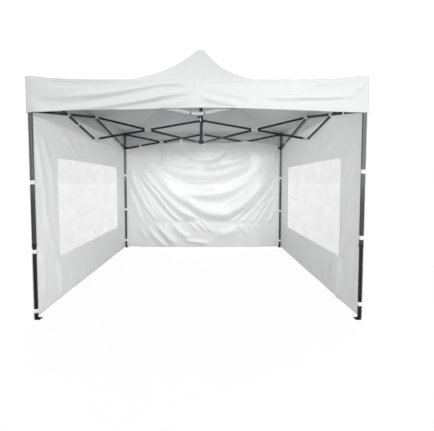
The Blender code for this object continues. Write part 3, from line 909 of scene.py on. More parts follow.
# %% Folds of the side walls
SIDE_FOLDS = (
    ([(-1.38, 1.82), (-1.32, 1.45), (-1.24, 1.05), (-1.21, 0.50)], 0.042, 0.014, 0.2),
    ([(-1.34, 1.80), (-1.20, 1.55), (-1.09, 1.25), (-1.07, 0.85)], 0.050, 0.012, 0.0),
    ([(-1.42, 1.20), (-1.38, 0.80), (-1.37, 0.25)], 0.030, -0.008, 0.0),
    ([(-1.24, 0.95), (-1.12, 0.62), (-1.03, 0.42)], 0.042, 0.014, 0.2),
    ([(-1.31, 0.65), (-1.27, 0.35), (-1.31, 0.08)], 0.040, 0.012, 0.0),
    ([(-1.03, 0.46), (-0.99, 0.25), (-0.965, -0.05)], 0.030, 0.024, -0.45),
    ([(-0.86, 0.42), (-0.80, 0.25), (-0.74, 0.04)], 0.050, -0.010, 0.0),
    ([(-0.98, 1.84), (-0.74, 1.68), (-0.52, 1.52)], 0.050, 0.012, 0.0),
    ([(-0.42, 1.85), (-0.31, 1.68), (-0.26, 1.52)], 0.060, -0.008, 0.0),
    ([(1.40, 1.30), (1.22, 1.10), (1.08, 0.80)], 0.045, 0.009, 0.0),
    ([(0.35, 0.42), (0.42, 0.22), (0.55, 0.04)], 0.060, 0.008, 0.0),
)


def limited(folds, share, low, high):
    """Folds that stay between low and high where share is 1."""
    return folds * (1 - share) + np.clip(folds, low, high) * share


def side_wall_folds(f, z, seed, strength):
    """Inward, in metres. f runs from the tent's front (-) to its back (+)."""
    loose = 1 - ease(1.70, 1.86, z)
    total = drawn(SIDE_FOLDS, f, z) * strength
    total += ripple(f, z * 0.6, seed, 0.9) * 0.0035
    total += ripple(f, z * 0.5, seed + 1, 0.28) * 0.0012
    return total * loose * ease(0, 0.06, WALL_HALF - abs(f))


print("folds on a side wall:", len(SIDE_FOLDS))


# %% The side wall sheets
def side_wall(name, side):
    """side: -1 for the left wall and 1 for the right one, whose folds are deeper."""
    seed, strength = (21, 1.0) if side < 0 else (27, 1.6)
    strip = spread(38, (WALL_HALF - WINDOW_HALF) / 2, 1.1) + (WALL_HALF + WINDOW_HALF) / 2
    us = np.concatenate([-strip[::-1], WINDOW_US[1:-1], strip])
    low = np.linspace(WALL_LOW, WINDOW_LOW, 34)
    top = np.linspace(WINDOW_HIGH, CUT_TOP, 34)
    vs = np.concatenate([low, WINDOW_VS[1:-1], top])

    def hang(u, v):
        u, v = round_the_window(u, v)
        z = up_to(wall_top(u), WINDOW_HIGH, v)[0]
        flat_rim = 0.35 + 0.65 * ease(0, 0.05, abs(window_gap(u, z)))
        inward = np.clip(side_wall_folds(u, z, seed, strength) * flat_rim, -0.02, 0.03)
        inward = limited(inward, ease(1.70, 1.82, z), -0.0002, 0.0012)
        return side * (WALL - inward), u, z

    def seams(u, v):
        u, v = round_the_window(u, v)
        below_top = up_to(wall_top(u), WINDOW_HIGH, v)[1]
        hems = (v - WALL_LOW, u), (WALL_HALF - abs(u), v), (below_top, u)
        return seams_at(*hems, (abs(window_gap(u, v)), u + v))

    piece = sheet(
        f"{name}_sheet", us, vs, hang, seams, wall_cloth, lambda c: c * [1, 0, 0],
        hole=lambda u, v: window_gap(u, v) < -0.002,
    )
    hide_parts(name)
    return hang


left_hang = side_wall("wall_left", -1)
right_hang = side_wall("wall_right", 1)

# %% The window films
OVERLAP = 0.018  # of the film and the cloth round it
FILM_FOLDS = (
    ([(-0.93, 1.45), (-0.82, 1.40), (-0.70, 1.30)], 0.03, 0.006, 0.0),
    ([(0.93, 1.45), (0.80, 1.36), (0.62, 1.30)], 0.03, 0.005, 0.0),
)


def window(name, side, hang):
    """The film lies on the outside of the wall and is sewn to it all round."""
    us = np.concatenate([[-WINDOW_HALF - OVERLAP], WINDOW_US, [WINDOW_HALF + OVERLAP]])
    vs = np.concatenate([[WINDOW_LOW - OVERLAP], WINDOW_VS, [WINDOW_HIGH + OVERLAP]])
    seed = 31 if side < 0 else 35

    def film(u, v):
        x, y, z = hang(u, v)
        inside = ease(0.0, 0.12, -window_gap(u, z))
        crinkle = ripple(y * 0.45, z * 1.5, seed, 0.5) * 0.0022
        crinkle += ripple(y * 0.5, z * 2, seed + 1, 0.16) * 0.0006
        crinkle += drawn(FILM_FOLDS, y, z)
        return x + side * (0.0009 - crinkle * inside), y, z

    def seams(u, v):
        return np.clip(OVERLAP - window_gap(u, v), 0, FAR), u + v

    piece = sheet(
        f"{name}_film", us, vs, film, seams, window_film, lambda c: c * [1, 0, 0], 0.0005
    )
    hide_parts(name)


window("window_left", -1, left_hang)
window("window_right", 1, right_hang)

# %% [markdown]
# ## The back wall
# The back wall is wider than the gap that it fills, so it hangs in swags: folds leave both
# upper corners, steep near the legs and almost level in the middle, like ropes of different
# slack between the same two hooks. Each fold is drawn as one line on the wall, with its
# width, its height and its lean: a hanging fold is narrow above its crest and wide below
# it. A seam across the wall stops the swags, and the strip below has slanting folds of
# its own.

# %% Folds of the back wall
SEAM = 0.480  # height of the seam across the wall
SWAG_FOLDS = (
    ([(-1.13, 1.64), (-0.96, 1.48), (-0.80, 1.36), (-0.65, 1.28), (-0.50, 1.20), (-0.30, 1.13),
      (-0.10, 1.10), (0.12, 1.11), (0.34, 1.16)], (0.040, 0.075), 0.042, -0.60),
    ([(-1.02, 1.45), (-0.88, 1.33), (-0.75, 1.22), (-0.60, 1.08), (-0.44, 0.96), (-0.28, 0.86),
      (-0.13, 0.76), (0.04, 0.68), (0.21, 0.64), (0.43, 0.64), (0.59, 0.72), (0.72, 0.79),
      (0.86, 0.91), (0.99, 1.06), (1.12, 1.22), (1.23, 1.39), (1.30, 1.55)
      ], (0.113, 0.120), 0.071, 0.10),
    ([(-1.15, 1.52), (-1.05, 1.37), (-0.97, 1.25), (-0.88, 1.16), (-0.77, 1.04), (-0.67, 0.93),
      (-0.56, 0.82), (-0.46, 0.73), (-0.33, 0.65), (-0.18, 0.58), (-0.07, 0.53)
      ], (0.022, 0.063), 0.072, -0.75),
    ([(-1.21, 1.49), (-1.09, 1.30), (-1.00, 1.17), (-0.92, 1.07), (-0.82, 0.94), (-0.71, 0.79),
      (-0.60, 0.65), (-0.48, 0.55), (-0.36, 0.47)], (0.036, 0.022), 0.054, -0.75),
    ([(-1.38, 1.65), (-1.32, 1.46), (-1.25, 1.34), (-1.18, 1.23), (-1.11, 1.11), (-1.04, 1.00),
      (-0.96, 0.91), (-0.88, 0.79), (-0.80, 0.69), (-0.71, 0.60), (-0.60, 0.52), (-0.50, 0.47)
      ], (0.072, 0.056), 0.018, -0.75),
    ([(-1.36, 1.51), (-1.33, 1.34), (-1.26, 1.18), (-1.20, 1.04), (-1.14, 0.93), (-1.07, 0.80),
      (-0.98, 0.67), (-0.91, 0.57), (-0.81, 0.48)], (0.065, 0.034), 0.034, -0.39),
    ([(-1.03, 0.95), (-0.97, 0.80), (-0.89, 0.67), (-0.80, 0.56)], (0.027, 0.023), 0.015, -0.36),
    ([(-1.45, 1.37), (-1.42, 1.24), (-1.39, 1.12), (-1.34, 1.01), (-1.30, 0.91), (-1.24, 0.80),
      (-1.21, 0.68), (-1.16, 0.57), (-1.12, 0.46)], (0.061, 0.044), 0.019, -0.55),
    ([(-1.43, 0.99), (-1.41, 0.81), (-1.39, 0.67), (-1.36, 0.51)], 0.022, 0.012, -0.38),
    ([(-1.08, 0.69), (-1.03, 0.57), (-0.96, 0.46)], 0.024, 0.011, -0.36),
    ([(-0.91, 1.59), (-0.70, 1.52), (-0.52, 1.44), (-0.36, 1.39), (-0.20, 1.36), (0.00, 1.35),
      (0.20, 1.36), (0.40, 1.39), (0.55, 1.44), (0.70, 1.50), (0.90, 1.60)
      ], (0.066, 0.049), 0.053, -0.75),
    ([(-0.45, 1.29), (-0.20, 1.24), (0.05, 1.23), (0.28, 1.25)], 0.034, 0.009, -0.08),
    ([(-0.05, 1.11), (0.22, 1.10), (0.38, 1.13), (0.50, 1.19), (0.62, 1.25), (0.75, 1.32),
      (0.85, 1.39), (0.96, 1.49), (1.08, 1.60)], 0.038, 0.005, -0.50),
    ([(-0.40, 1.07), (-0.15, 1.01), (0.08, 1.00), (0.30, 1.02), (0.48, 1.07), (0.62, 1.13),
      (0.79, 1.22), (0.91, 1.31), (1.02, 1.40), (1.13, 1.56)], (0.100, 0.034), 0.050, -0.65),
    ([(-0.45, 1.05), (-0.25, 1.00), (0.00, 0.97), (0.20, 0.96)], (0.039, 0.042), 0.010, -0.26),
    ([(0.48, 0.86), (0.60, 0.91), (0.70, 0.97), (0.82, 1.05), (0.93, 1.16), (1.02, 1.26),
      (1.11, 1.35), (1.20, 1.46), (1.29, 1.61)], 0.033, 0.029, -0.75),
    ([(0.48, 0.46), (0.59, 0.51), (0.70, 0.61), (0.80, 0.71), (0.92, 0.81), (1.02, 0.94)
      ], (0.031, 0.038), 0.012, -0.41),
    ([(0.58, 0.39), (0.68, 0.48), (0.77, 0.54), (0.87, 0.64), (0.96, 0.74), (1.06, 0.84),
      (1.16, 0.96), (1.25, 1.07), (1.32, 1.15), (1.40, 1.29)], (0.043, 0.049), 0.014, -0.68),
    ([(0.86, 0.45), (0.99, 0.57), (1.07, 0.70), (1.16, 0.84)], 0.024, 0.016, -0.32),
    ([(1.00, 0.46), (1.08, 0.54), (1.14, 0.65), (1.21, 0.75), (1.27, 0.86), (1.34, 0.98),
      (1.39, 1.09), (1.43, 1.25)], 0.031, 0.015, -0.67),
    ([(1.17, 0.40), (1.28, 0.54), (1.34, 0.68), (1.38, 0.87), (1.40, 1.03)
      ], (0.046, 0.043), 0.026, -0.40),
)
SLANT_FOLDS = (
    ([(-1.34, 0.63), (-1.28, 0.55), (-1.22, 0.49)], (0.021, 0.022), 0.016, -0.30),
    ([(-1.04, 0.46), (-1.00, 0.37), (-0.93, 0.25), (-0.85, 0.17), (-0.77, 0.09), (-0.64, 0.00)
      ], (0.039, 0.048), 0.028, -0.41),
    ([(-0.90, 0.47), (-0.83, 0.39), (-0.75, 0.31), (-0.68, 0.23), (-0.58, 0.12), (-0.45, 0.05)
      ], (0.038, 0.064), 0.046, -0.20),
    ([(-0.75, 0.47), (-0.69, 0.37), (-0.63, 0.29)], 0.023, 0.012, -0.04),
    ([(-0.60, 0.47), (-0.51, 0.38), (-0.43, 0.29), (-0.33, 0.23), (-0.18, 0.19)
      ], (0.041, 0.049), 0.023, -0.12),
    ([(-0.40, 0.22), (-0.27, 0.13), (-0.13, 0.11), (0.02, 0.09), (0.16, 0.09)
      ], (0.040, 0.036), 0.022, -0.20),
    ([(-0.30, 0.52), (-0.20, 0.42), (-0.07, 0.29)], 0.026, 0.015, -0.25),
    ([(-0.20, 0.56), (-0.10, 0.46), (0.03, 0.35), (0.12, 0.28)], 0.024, 0.014, -0.30),
    ([(-0.07, 0.57), (0.02, 0.47), (0.08, 0.39), (0.15, 0.33), (0.26, 0.27)
      ], (0.023, 0.032), 0.016, -0.35),
    ([(0.21, 0.30), (0.35, 0.26), (0.52, 0.29), (0.66, 0.39)], (0.085, 0.072), 0.020, -0.13),
    ([(0.95, 0.46), (1.03, 0.36), (1.10, 0.27)], 0.024, 0.012, -0.25),
    ([(0.70, 0.44), (0.78, 0.32), (0.88, 0.22)], 0.034, 0.008, -0.25),
    ([(-1.22, 0.40), (-1.12, 0.27), (-1.02, 0.12)], 0.038, 0.012, -0.30),
)
TOP_FOLDS = (
    ([(-0.36, 2.01), (-0.30, 1.81), (-0.15, 1.68), (0.04, 1.65), (0.24, 1.68), (0.41, 1.81),
      (0.46, 1.98)], (0.046, 0.041), -0.065, -0.06),
    ([(-0.86, 1.67), (-0.64, 1.60), (-0.45, 1.555), (-0.28, 1.535), (-0.08, 1.54)
      ], (0.082, 0.078), 0.034, 0.18),
    ([(-0.04, 1.51), (0.14, 1.51), (0.30, 1.54), (0.45, 1.57), (0.65, 1.62), (0.89, 1.71)
      ], (0.095, 0.090), 0.052, 0.25),
    ([(-0.56, 1.78), (-0.46, 1.71), (-0.34, 1.65)], 0.075, 0.016, 0.0),
    ([(0.24, 1.62), (0.38, 1.68), (0.50, 1.74)], 0.080, 0.018, 0.0),
)
print("folds on the back wall:", len(SWAG_FOLDS + SLANT_FOLDS + TOP_FOLDS))

# %% How the back wall hangs
BELLY = 0.048  # how far the slack middle of the cloth stands outward


def back_folds(x, z):
    """Towards the inside of the tent, in metres."""
    total = ripple(x, z, 50, 0.8) * 0.003
    total -= BELLY * np.exp(-(x**4) - ((z - 0.98) / 0.46) ** 4)
    above = ease(-0.03, 0.05, z - SEAM)
    total += drawn(SWAG_FOLDS, x, z, 0.16) * above
    total += drawn(SLANT_FOLDS, x, z, 0.34) * (1 - 0.8 * above)
    total += drawn(TOP_FOLDS, x, z, 0.22)
    gathered = 0.35 + 0.65 * ease(0.25, 0.7, abs(x + 0.1))
    at_seam = np.exp(-(((z - SEAM) / 0.035) ** 2)) * gathered
    total += np.cos(x * 118 + 3 * np.sin(4 * x)) * CREASE * at_seam
    at_hem = np.exp(-(((z - 0.06) / 0.04) ** 2))
    return total + np.cos(x * 60 + 2 * np.sin(5 * x)) * CREASE * at_hem


BACK_TOP = (
    (-1.4665, 1.815), (-1.36, 1.815), (-1.20, 1.885), (-1.00, 1.925), (-0.71, 1.945),
    (-0.55, 1.957), (-0.40, 1.982), (-0.25, 1.955), (0.0, 1.945), (0.35, 1.948), (0.60, 1.962),
    (0.78, 1.985), (0.95, 1.960), (1.16, 1.940), (1.30, 1.920), (1.37, 1.900), (1.392, 1.870),
    (1.402, 1.815), (1.4665, 1.815),
)


def back_top(x):
    at, height = np.array(BACK_TOP).T
    return np.interp(x, at, height)


def back_depth(x, z):
    """How far inside the leg centres the cloth hangs. Its upper edge lies over the bars where
    over is 1, and low draws the middle of the wall in below them."""
    over = ease(-0.80, -0.70, x) * (1 - ease(1.335, 1.385, x - 0.055 * ease(1.77, 1.835, z)))
    low = (1 - ease(1.02, 1.40, abs(x))) * 0.85
    high = ease(1.45, 1.80, z)
    share = low * (1 - high) + over * high
    outside = LEG - WALL
    return outside + (0.030 - outside) * share


def back_hang(u, v):
    z = up_to(back_top(u), SEAM, v)[0]
    folds = back_folds(u, z) * ease(0, 0.05, WALL - abs(u))
    folds = limited(folds, ease(1.72, 1.80, z), -0.0085, 0.016)
    folds = limited(folds, ease(1.30, 1.42, abs(u)), -0.03, 0.001)
    return u, LEG - back_depth(u, z) - folds, z


def back_seams(u, v):
    below_top = up_to(back_top(u), SEAM, v)[1]
    hems = (v - WALL_LOW, u), (WALL - abs(u), v), (below_top, u)
    return seams_at(*hems, (abs(v - SEAM) + 0.002, u))


print("top of the back wall:", round(float(back_top(0)), 3), "m in the middle")

# %% The back wall sheet
SLIT_U, SLIT_V = (-0.008, 0.022), (1.845, 1.895)  # the back's low fitting reaches through it
back_lines = np.concatenate([np.linspace(WALL_LOW, SEAM, 42), np.linspace(SEAM, CUT_TOP, 122)[1:]])
back = sheet(
    "wall_back_sheet", spread(285, WALL, 1.12), back_lines, back_hang, back_seams, back_cloth,
    lambda c: (0, 1, 0),
    hole=lambda u, v: SLIT_U[0] < u < SLIT_U[1] and SLIT_V[0] < v < SLIT_V[1],
)
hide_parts("wall_back")

# %% [markdown]
# ## Straps
# White straps with hook-and-loop ends are sewn to the walls' edges and close round the legs
# and the bars. One strap is a short square sleeve with a tab that lies back on it. It is
# modelled from a cube: the two open ends are deleted, the corners are bevelled and a
# Solidify gives it its thickness. The tab is a second, bevelled cube. The loop is modelled
# once for each size and copied, and every copy has a mesh of its own.


# %% Boxes, joins and copies
def box(size, middle=(0, 0, 0)):
    piece = begin(bpy.ops.mesh.primitive_cube_add, size=1, location=middle)
    piece.scale = size
    bpy.ops.object.transform_apply(location=True, rotation=False, scale=True)
    return piece


def pick(piece, kind, test):
    """In edit mode, selects the faces or the edges that pass a test."""
    mesh = edit(piece, kind)
    select(piece, mesh.faces if kind == "FACE" else mesh.edges, test)


def smooth(degrees):
    """Smooth shading on the selected piece, but not over edges sharper than this."""
    bpy.ops.object.shade_smooth_by_angle(angle=math.radians(degrees))


def joined(name, parts):
    """One piece from several; the first one's object is kept."""
    bpy.ops.object.select_all(action="DESELECT")
    for part in parts:
        part.select_set(True)
    bpy.context.view_layer.objects.active = parts[0]
    bpy.ops.object.join()
    piece = bpy.context.object
    piece.name = piece.data.name = name
    return piece


def copy_of(piece):
    twin = piece.copy()
    twin.data = piece.data.copy()
    bpy.context.scene.collection.objects.link(twin)
    return twin


print("boxes can be made, joined and copied")

# %% Making a strap
ROOM = 0.0006  # between a strap and what it holds
BEND = 0.004  # radius of a strap's corners
STRAP_HIGH = 0.034  # the webbing's width


def strap(name, room_x, room_y, high, finish, thickness=0.0016):
    """A loop round Z with this much room inside, lying at the origin."""
    piece = box((2 * room_x, 2 * room_y, high))
    pick(piece, "FACE", lambda face: abs(face.normal.z) > 0.5)
    bpy.ops.mesh.delete(type="ONLY_FACE")
    pick(piece, "EDGE", lambda edge: abs(edge.verts[0].co.z - edge.verts[1].co.z) > high / 2)
    bpy.ops.mesh.bevel(offset=BEND, segments=3)
    done()
    apply(piece, "SOLIDIFY", thickness=thickness, offset=1.0)
    tab = box((thickness, room_y * 1.5, high * 0.86), (room_x + thickness * 1.5, 0, 0))
    pick(tab, "EDGE", lambda edge: True)
    bpy.ops.mesh.bevel(offset=thickness * 0.3, segments=2)
    done()
    piece = joined(name, [piece, tab])
    smooth(40)
    piece.data.materials.append(finish)
    return piece


def settle(piece, place, name):
    """The piece's mesh is moved to its place, and its object stays at the origin."""
    piece.data.transform(place)
    piece.name = piece.data.name = name
    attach(piece, "tent")


def leg_signs(corner):
    """Which way a corner lies along X and along Y."""
    return (-1 if corner.endswith("left") else 1), (-1 if corner.startswith("front") else 1)


print("a strap can be made and settled")

# %% Straps on the legs
LEG_STRAPS = {  # heights of the straps' middles
    "front_left": (1.227, 0.615, 0.080),
    "front_right": (1.321, 0.739, 0.143),
    "back_left": (1.349, 0.717, 0.137),
    "back_right": (1.300, 0.690, 0.127),
}
upper_loop = strap("upper_loop", TUBE + ROOM, TUBE + ROOM, STRAP_HIGH, white_webbing)
lower_loop = strap("lower_loop", INNER + 2 * ROOM, INNER + 2 * ROOM, STRAP_HIGH, white_webbing)
for corner, heights in LEG_STRAPS.items():
    sx, sy = leg_signs(corner)
    for index, z in enumerate(heights):
        loop = upper_loop if z > TUBE_END + 0.02 else lower_loop
        place = Matrix.Translation((sx * LEG, sy * LEG, z))
        turn = Matrix.Rotation(math.pi if sx > 0 else 0.0, 4, "Z")
        settle(copy_of(loop), place @ turn, f"strap_{corner}_{index + 1}")
for loop in (upper_loop, lower_loop):
    bpy.data.objects.remove(loop)
print("leg straps:", sum(len(heights) for heights in LEG_STRAPS.values()))

# %% [markdown]
# ## Straps on the bars
# The walls' upper edges are tied to the scissor bars. A strap there is the same loop, laid
# on its side and turned with the bar's slope. One longer band hangs down over the edge of
# the back wall.

# %% Bar straps
BRACKET_U, BRACKET_Z, SLIDER_Z = LEG - 0.044, 2.100, 1.855
MID_U, MID_HIGH_Z, MID_LOW_Z = 0.040, 2.100, 1.820
FALLING, RISING = -0.004, 0.010  # the two layers of bars, inward from the legs' plane
SPAN = BRACKET_U - MID_U
FALL, RISE = (BRACKET_Z - MID_LOW_Z) / SPAN, (MID_HIGH_Z - SLIDER_Z) / SPAN
BAR_ROOM = (0.0064, 0.0145)  # half a bar's width and height, with a hair of room


def falling_z(u):
    return BRACKET_Z - (BRACKET_U - abs(u)) * FALL


def rising_z(u):
    return SLIDER_Z + (BRACKET_U - abs(u)) * RISE


def on_side(side, u, v, z):
    """A point of the front side's drawing, turned to one of the four sides."""
    turn = Matrix.Rotation(SIDES.index(side) * math.pi / 2, 4, "Z")
    return turn @ Matrix.Translation((u, v - LEG, z))


def along_bar(slope):
    """Lays a loop's axis along a bar."""
    return Matrix.Rotation(math.atan(slope), 4, "Y") @ Matrix.Rotation(math.pi / 2, 4, "Y")


BAR_STRAP_WIDE = 0.026
bar_loop = strap("bar_loop", BAR_ROOM[1], BAR_ROOM[0], BAR_STRAP_WIDE, white_webbing)
BAR_STRAPS = (
    ("left", 0.50, "falling"), ("left", -0.50, "falling"), ("left", -1.08, "rising"),
    ("right", 0.50, "falling"), ("right", 1.08, "rising"), ("right", -1.08, "rising"),
    ("back", 1.16, "rising"), ("back", 0.40, "rising"), ("back", -1.16, "rising"),
)
for index, (side, u, kind) in enumerate(BAR_STRAPS):
    v, z = (FALLING, falling_z(u)) if kind == "falling" else (RISING, rising_z(u))
    slope = math.copysign(FALL, -u) if kind == "falling" else math.copysign(RISE, u)
    place = on_side(side, u, v, z) @ along_bar(slope)
    settle(copy_of(bar_loop), place, f"bar_strap_{side}_{index + 1}")
bpy.data.objects.remove(bar_loop)


def ribbon(points, wide, finish, thickness=0.0015):
    """A narrow band through points (y, z) at x = 0, with this width along X."""
    piece = grid(5, len(points))
    for vertex in piece.data.vertices:
        y, z = points[round((vertex.co.y + 1) / 2 * (len(points) - 1))]
        vertex.co = (vertex.co.x * wide / 2, y, z)
    apply(piece, "SOLIDIFY", thickness=thickness, offset=0.0)
    smooth(40)
    piece.data.materials.append(finish)
    return piece


over_edge = through(
    [(-0.019, 2.045), (-0.0225, 2.02), (-0.042, 1.985), (-0.053, 1.93), (-0.056, 1.865)], 4
)
hanging = ribbon(over_edge.tolist(), wide=0.036, finish=white_webbing)
settle(hanging, Matrix.Translation((-0.40, LEG, 0)), "hanging_strap")
print("bar straps:", len(BAR_STRAPS) + 1)

# %% [markdown]
# ## Sleeves on the bars
# Beside the middle of the front, the two falling bars wear pale plastic sleeves: a painted
# highlight, which stands for the bright light of the front lamp on these bars. The inner bar
# from the back wears a white one.

# %% Bar sleeves
SLEEVE_FROM, SLEEVE_TO = 0.060, 0.40
# Pale sleeves on the front's falling bars: a painted highlight for the bright front light on them.
sleeve = strap("bar_sleeve", BAR_ROOM[1], BAR_ROOM[0], SLEEVE_TO - SLEEVE_FROM, sleeve_highlight_nylon, 0.0012)
for sign, side in ((-1, "left"), (1, "right")):
    u = sign * (SLEEVE_FROM + SLEEVE_TO) / 2
    place = on_side("front", u, FALLING, falling_z(u)) @ along_bar(math.copysign(FALL, -u))
    settle(copy_of(sleeve), place, f"front_bar_highlight_sleeve_{side}")
bpy.data.objects.remove(sleeve)
HUB_HIGH_Z, HUB_LOW_Z = 2.054, 1.775  # the pivots in the mast's two hubs
HUB_REACH = 0.050  # from the mast to them
INNER_START = 0.045  # from the legs' plane to the inner bars' first pivot
INNER_SPAN = LEG - INNER_START - HUB_REACH
INNER_LAYER = 0.007  # how far the inner bars lie beside the middle line
inner_slope = (HUB_HIGH_Z - MID_LOW_Z) / INNER_SPAN
back_from, back_to = 0.064, 0.52
v = (back_from + back_to) / 2
place = on_side("back", -INNER_LAYER, v, MID_LOW_Z + (v - INNER_START) * inner_slope)
turn = Matrix.Rotation(math.pi / 2, 4, "Z") @ along_bar(-inner_slope)
sleeve = strap(
    "back_bar_sleeve", BAR_ROOM[1], BAR_ROOM[0], back_to - back_from, white_webbing, 0.0012
)
settle(sleeve, place @ turn, "back_bar_sleeve")
print("bar sleeves: 3")

# %% [markdown]
# ## Bolts
# Every pivot of the scissors is a bolt with a low domed head and a nut. Both are turned
# solids: a cylinder primitive whose rim is bevelled. One pair is modelled and copied to
# all pivots, and the copies are joined into a single piece.


# %% A bolt's head and nut
def cylinder(corners, radius, high, middle):
    """Its axis is along Z and its middle at this height."""
    piece = begin(
        bpy.ops.mesh.primitive_cylinder_add, vertices=corners, radius=radius, depth=high,
        location=(0, 0, middle),
    )
    bpy.ops.object.transform_apply(location=True)
    return piece


def turned_head(name, corners, radius, high, soften):
    """A short cylinder that stands on the ground plane, with a softened upper rim."""
    piece = cylinder(corners, radius, high, high / 2)
    pick(piece, "EDGE", lambda edge: min(end.co.z for end in edge.verts) > high * 0.9)
    bpy.ops.mesh.bevel(offset=soften, segments=3)
    done()
    smooth(35)
    piece.name = name
    piece.data.materials.append(zinc_steel)
    return piece


head = turned_head("bolt_head", corners=16, radius=0.0062, high=0.0021, soften=0.0012)
nut = turned_head("bolt_nut", corners=6, radius=0.0058, high=0.0034, soften=0.0006)
print("bolt head and nut:", len(head.data.polygons), len(nut.data.polygons), "faces")

# %% Bolts at the pivots
CHEEK_REACH = 0.0098  # from a bar's middle layer to the outside of the cheeks that hold it
CROSSING_REACH = 0.00685  # the same where two bars cross without cheeks
bolts = []


def bolt(side, along, faces, u, v, z):
    """A head on one face and a nut on the other; along is the bolt's direction, u or v."""
    for shape, face, turn in zip((head, nut), faces, (1, -1)):
        twin = copy_of(shape)
        if along == "v":
            place = on_side(side, u, face, z) @ Matrix.Rotation(turn * math.pi / 2, 4, "X")
        else:
            place = on_side(side, face, v, z) @ Matrix.Rotation(-turn * math.pi / 2, 4, "Y")
        twin.data.transform(place)
        bolts.append(twin)


def around_layer(layer):
    return (layer - CHEEK_REACH, layer + CHEEK_REACH)


hub_v = LEG - HUB_REACH
inner_fall = (MID_HIGH_Z - HUB_LOW_Z) / INNER_SPAN
inner_z = MID_HIGH_Z - inner_fall * (LEG - INNER_START - INNER_CROSSING)
for side in SIDES:
    for sign in (-1, 1):
        bolt(side, "v", around_layer(FALLING), sign * BRACKET_U, 0, BRACKET_Z)
        bolt(side, "v", around_layer(RISING), sign * BRACKET_U, 0, SLIDER_Z)
        bolt(side, "v", around_layer(RISING), sign * MID_U, 0, MID_HIGH_Z)
        bolt(side, "v", around_layer(FALLING), sign * MID_U, 0, MID_LOW_Z)
        crossing = (FALLING - CROSSING_REACH, RISING + CROSSING_REACH)
        bolt(side, "v", crossing, sign * SIDE_CROSSING, 0, falling_z(SIDE_CROSSING))
    bolt(side, "u", around_layer(INNER_LAYER), 0, INNER_START, MID_HIGH_Z)
    bolt(side, "u", around_layer(-INNER_LAYER), 0, INNER_START, MID_LOW_Z)
    bolt(side, "u", around_layer(INNER_LAYER), 0, hub_v, HUB_LOW_Z)
    bolt(side, "u", around_layer(-INNER_LAYER), 0, hub_v, HUB_HIGH_Z)
    crossing = (-INNER_LAYER - CROSSING_REACH, INNER_LAYER + CROSSING_REACH)
    bolt(side, "u", crossing, 0, LEG - INNER_CROSSING, inner_z)
print("bolt heads and nuts:", len(bolts))
frame_bolts = joined("frame_bolts", bolts)
bpy.data.objects.remove(head)
bpy.data.objects.remove(nut)
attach(frame_bolts, "tent")

# %% [markdown]
# ## Collars
# A moulded collar closes the lower end of each upper tube, and holds the sprung button that
# locks the leg at one of its holes. It is the same open sleeve as a strap, in nylon. The
# mast has a round collar above its upper hub.

# %% Leg collars
COLLAR_LOW, COLLAR_HIGH = TUBE_END - 0.004, TUBE_END + 0.024
COLLAR_ROOM = TUBE + 0.0003
collar_z = (COLLAR_LOW + COLLAR_HIGH) / 2
for corner in CORNERS:
    sx, sy = leg_signs(corner)
    collar = strap("collar", COLLAR_ROOM, COLLAR_ROOM, COLLAR_HIGH - COLLAR_LOW, black_nylon, 0.001)
    turn = Matrix.Rotation(math.pi if sx > 0 else 0, 4, "Z")
    collar.data.transform(Matrix.Translation((sx * LEG, sy * LEG, collar_z)) @ turn)
    button = turned_head("button", corners=16, radius=0.0062, high=0.005, soften=0.002)
    inward = Matrix.Rotation(math.pi / 2 * sy, 4, "X")
    inner_face = (sx * LEG, sy * (LEG - TUBE - 0.001), collar_z)
    button.data.transform(Matrix.Translation(inner_face) @ inward)
    piece = joined(f"leg_collar_{corner}", [collar, button])
    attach(piece, "tent")
print("leg collars:", len(CORNERS))

# %% The mast's collar
MAST_COLLAR_R, MAST_COLLAR_HIGH, MAST_COLLAR_Z, MAST_COLLAR_WALL = 0.027, 0.055, 2.101, 0.0055
mast_collar = cylinder(32, MAST_COLLAR_R, MAST_COLLAR_HIGH, MAST_COLLAR_Z)
pick(mast_collar, "FACE", lambda face: abs(face.normal.z) > 0.5)
bpy.ops.mesh.inset(thickness=MAST_COLLAR_WALL)
pick(mast_collar, "FACE", lambda face: abs(face.normal.z) > 0.5 and len(face.verts) > 4)
bpy.ops.mesh.delete(type="FACE")
pick(mast_collar, "EDGE", lambda edge: edge.is_boundary)
bpy.ops.mesh.bridge_edge_loops()
done()
apply(mast_collar, "BEVEL", width=0.002, segments=2, limit_method="ANGLE")
smooth(35)
mast_collar.data.materials.append(black_nylon)
mast_collar.name = mast_collar.data.name = "mast_collar"
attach(mast_collar, "tent")
print("mast collar:", len(mast_collar.data.polygons), "faces")

# %% [markdown]
# ## The stage
# A pale floor, a white surround and one soft lamp at the front right, hardly higher than
# the valance, as its shadow on the back wall shows. Weak lamps inside the tent stand for
# the light that comes through the roof: one from the front, one for the shadow under the
# eave, one for the right wall, and two near the back wall that graze its folds from above.
# The camera stands where the photograph's perspective puts it.

# %% Floor and surround
floor = begin(bpy.ops.mesh.primitive_plane_add, size=400, location=(0, 0, -0.0005))
floor.name = "floor"
r = Recipe("pale_floor", Roughness=0.9, Emission_Color=(1, 1, 1, 1), Emission_Strength=0.925)
grain = r.noise(r.place(), 3.0, 2.0)
colour = r.blend(grain, (0.045, 0.045, 0.045, 1), (0.055, 0.055, 0.055, 1))
floor.data.materials.append(r.finish(Base_Color=colour))
floor.visible_diffuse = False
floor.visible_glossy = False
floor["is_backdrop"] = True

r = Recipe("studio", "worlds", "Background", Strength=1.0)
_, towards_back, upwards = r.parts(r.place("Generated"))
walls = r.climb(upwards, -0.50, -0.06, 0.22, 1.0) * r.climb(towards_back, -0.30, 0.55, 0.42, 1.0)
overhead = r.climb(upwards, 0.0, 1.0, 0.0, 0.34)
bpy.context.scene.world = r.finish(Color=walls + overhead)
print("floor and surround ready")

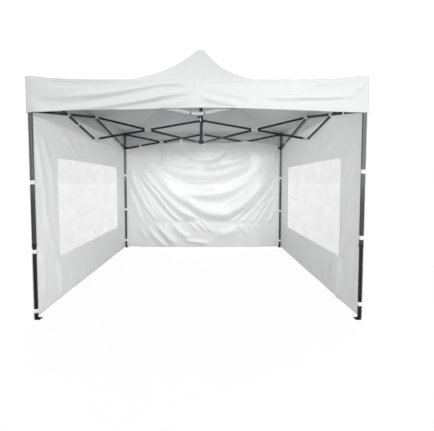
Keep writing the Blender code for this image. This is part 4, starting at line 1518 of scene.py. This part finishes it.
# %% Lamps
LAMPS = (  # name, place, target, width, height, watts, spread in degrees
    ("key", (1.4, -6.5, 2.00), (0.0, 1.0, 1.2), 1.6, 0.35, 168, 180),
    ("fill", (0.0, -1.38, 1.70), (0.0, 1.45, 0.80), 0.9, 0.15, 3.3, 110),
    ("lift", (0.0, 0.1, 0.9), (0.0, 1.45, 1.75), 1.8, 0.3, 0.9, 74),
    ("side", (-0.9, -0.9, 1.30), (1.30, -0.4, 2.15), 0.8, 0.5, 2.4, 90),
    ("graze_left", (-0.62, 0.55, 1.76), (-0.62, 1.45, 0.35), 0.9, 0.08, 1.5, 98),
    ("graze_right", (0.62, 0.55, 1.76), (0.62, 1.45, 0.35), 0.9, 0.08, 1.5, 98),
)
for name, place, target, wide, high, power, degrees in LAMPS:
    lamp = bpy.data.lights.new(name, "AREA")
    lamp.shape, lamp.size, lamp.size_y = "RECTANGLE", wide, high
    lamp.energy, lamp.spread = power, math.radians(degrees)
    lit = bpy.data.objects.new(name, lamp)
    lit.location = place
    lit.rotation_euler = (Vector(target) - lit.location).to_track_quat("-Z", "Y").to_euler()
    lit.visible_camera = False
    bpy.context.scene.collection.objects.link(lit)
print("lamps:", len(LAMPS))

# %% Camera
PHOTO = (434, 431)  # pixels
VIEW_MIDDLE = (207.68, 196.69)  # where the camera points, in the photograph's pixels
FOCAL = 290.74  # pixels
EYE = (0.0883, -3.9981, 1.2318)
DOWNWARD = 0.0511  # radians
lens = bpy.data.cameras.new("camera")
lens.sensor_width = 36
lens.lens = FOCAL / PHOTO[0] * lens.sensor_width
lens.shift_x = (PHOTO[0] / 2 - VIEW_MIDDLE[0]) / PHOTO[0]
lens.shift_y = (VIEW_MIDDLE[1] - PHOTO[1] / 2) / PHOTO[0]
camera = bpy.data.objects.new("camera", lens)
camera.location = EYE
camera.rotation_euler = (math.pi / 2 - DOWNWARD, 0, 0)
bpy.context.scene.collection.objects.link(camera)
bpy.context.scene.camera = camera
bpy.context.scene.view_settings.view_transform = "Standard"
print("camera at", EYE, "lens", round(lens.lens, 2), "mm")

# %% Sizes and finish
low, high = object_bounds()
print("visual box", [round(x, 4) for x in low], [round(x, 4) for x in high])
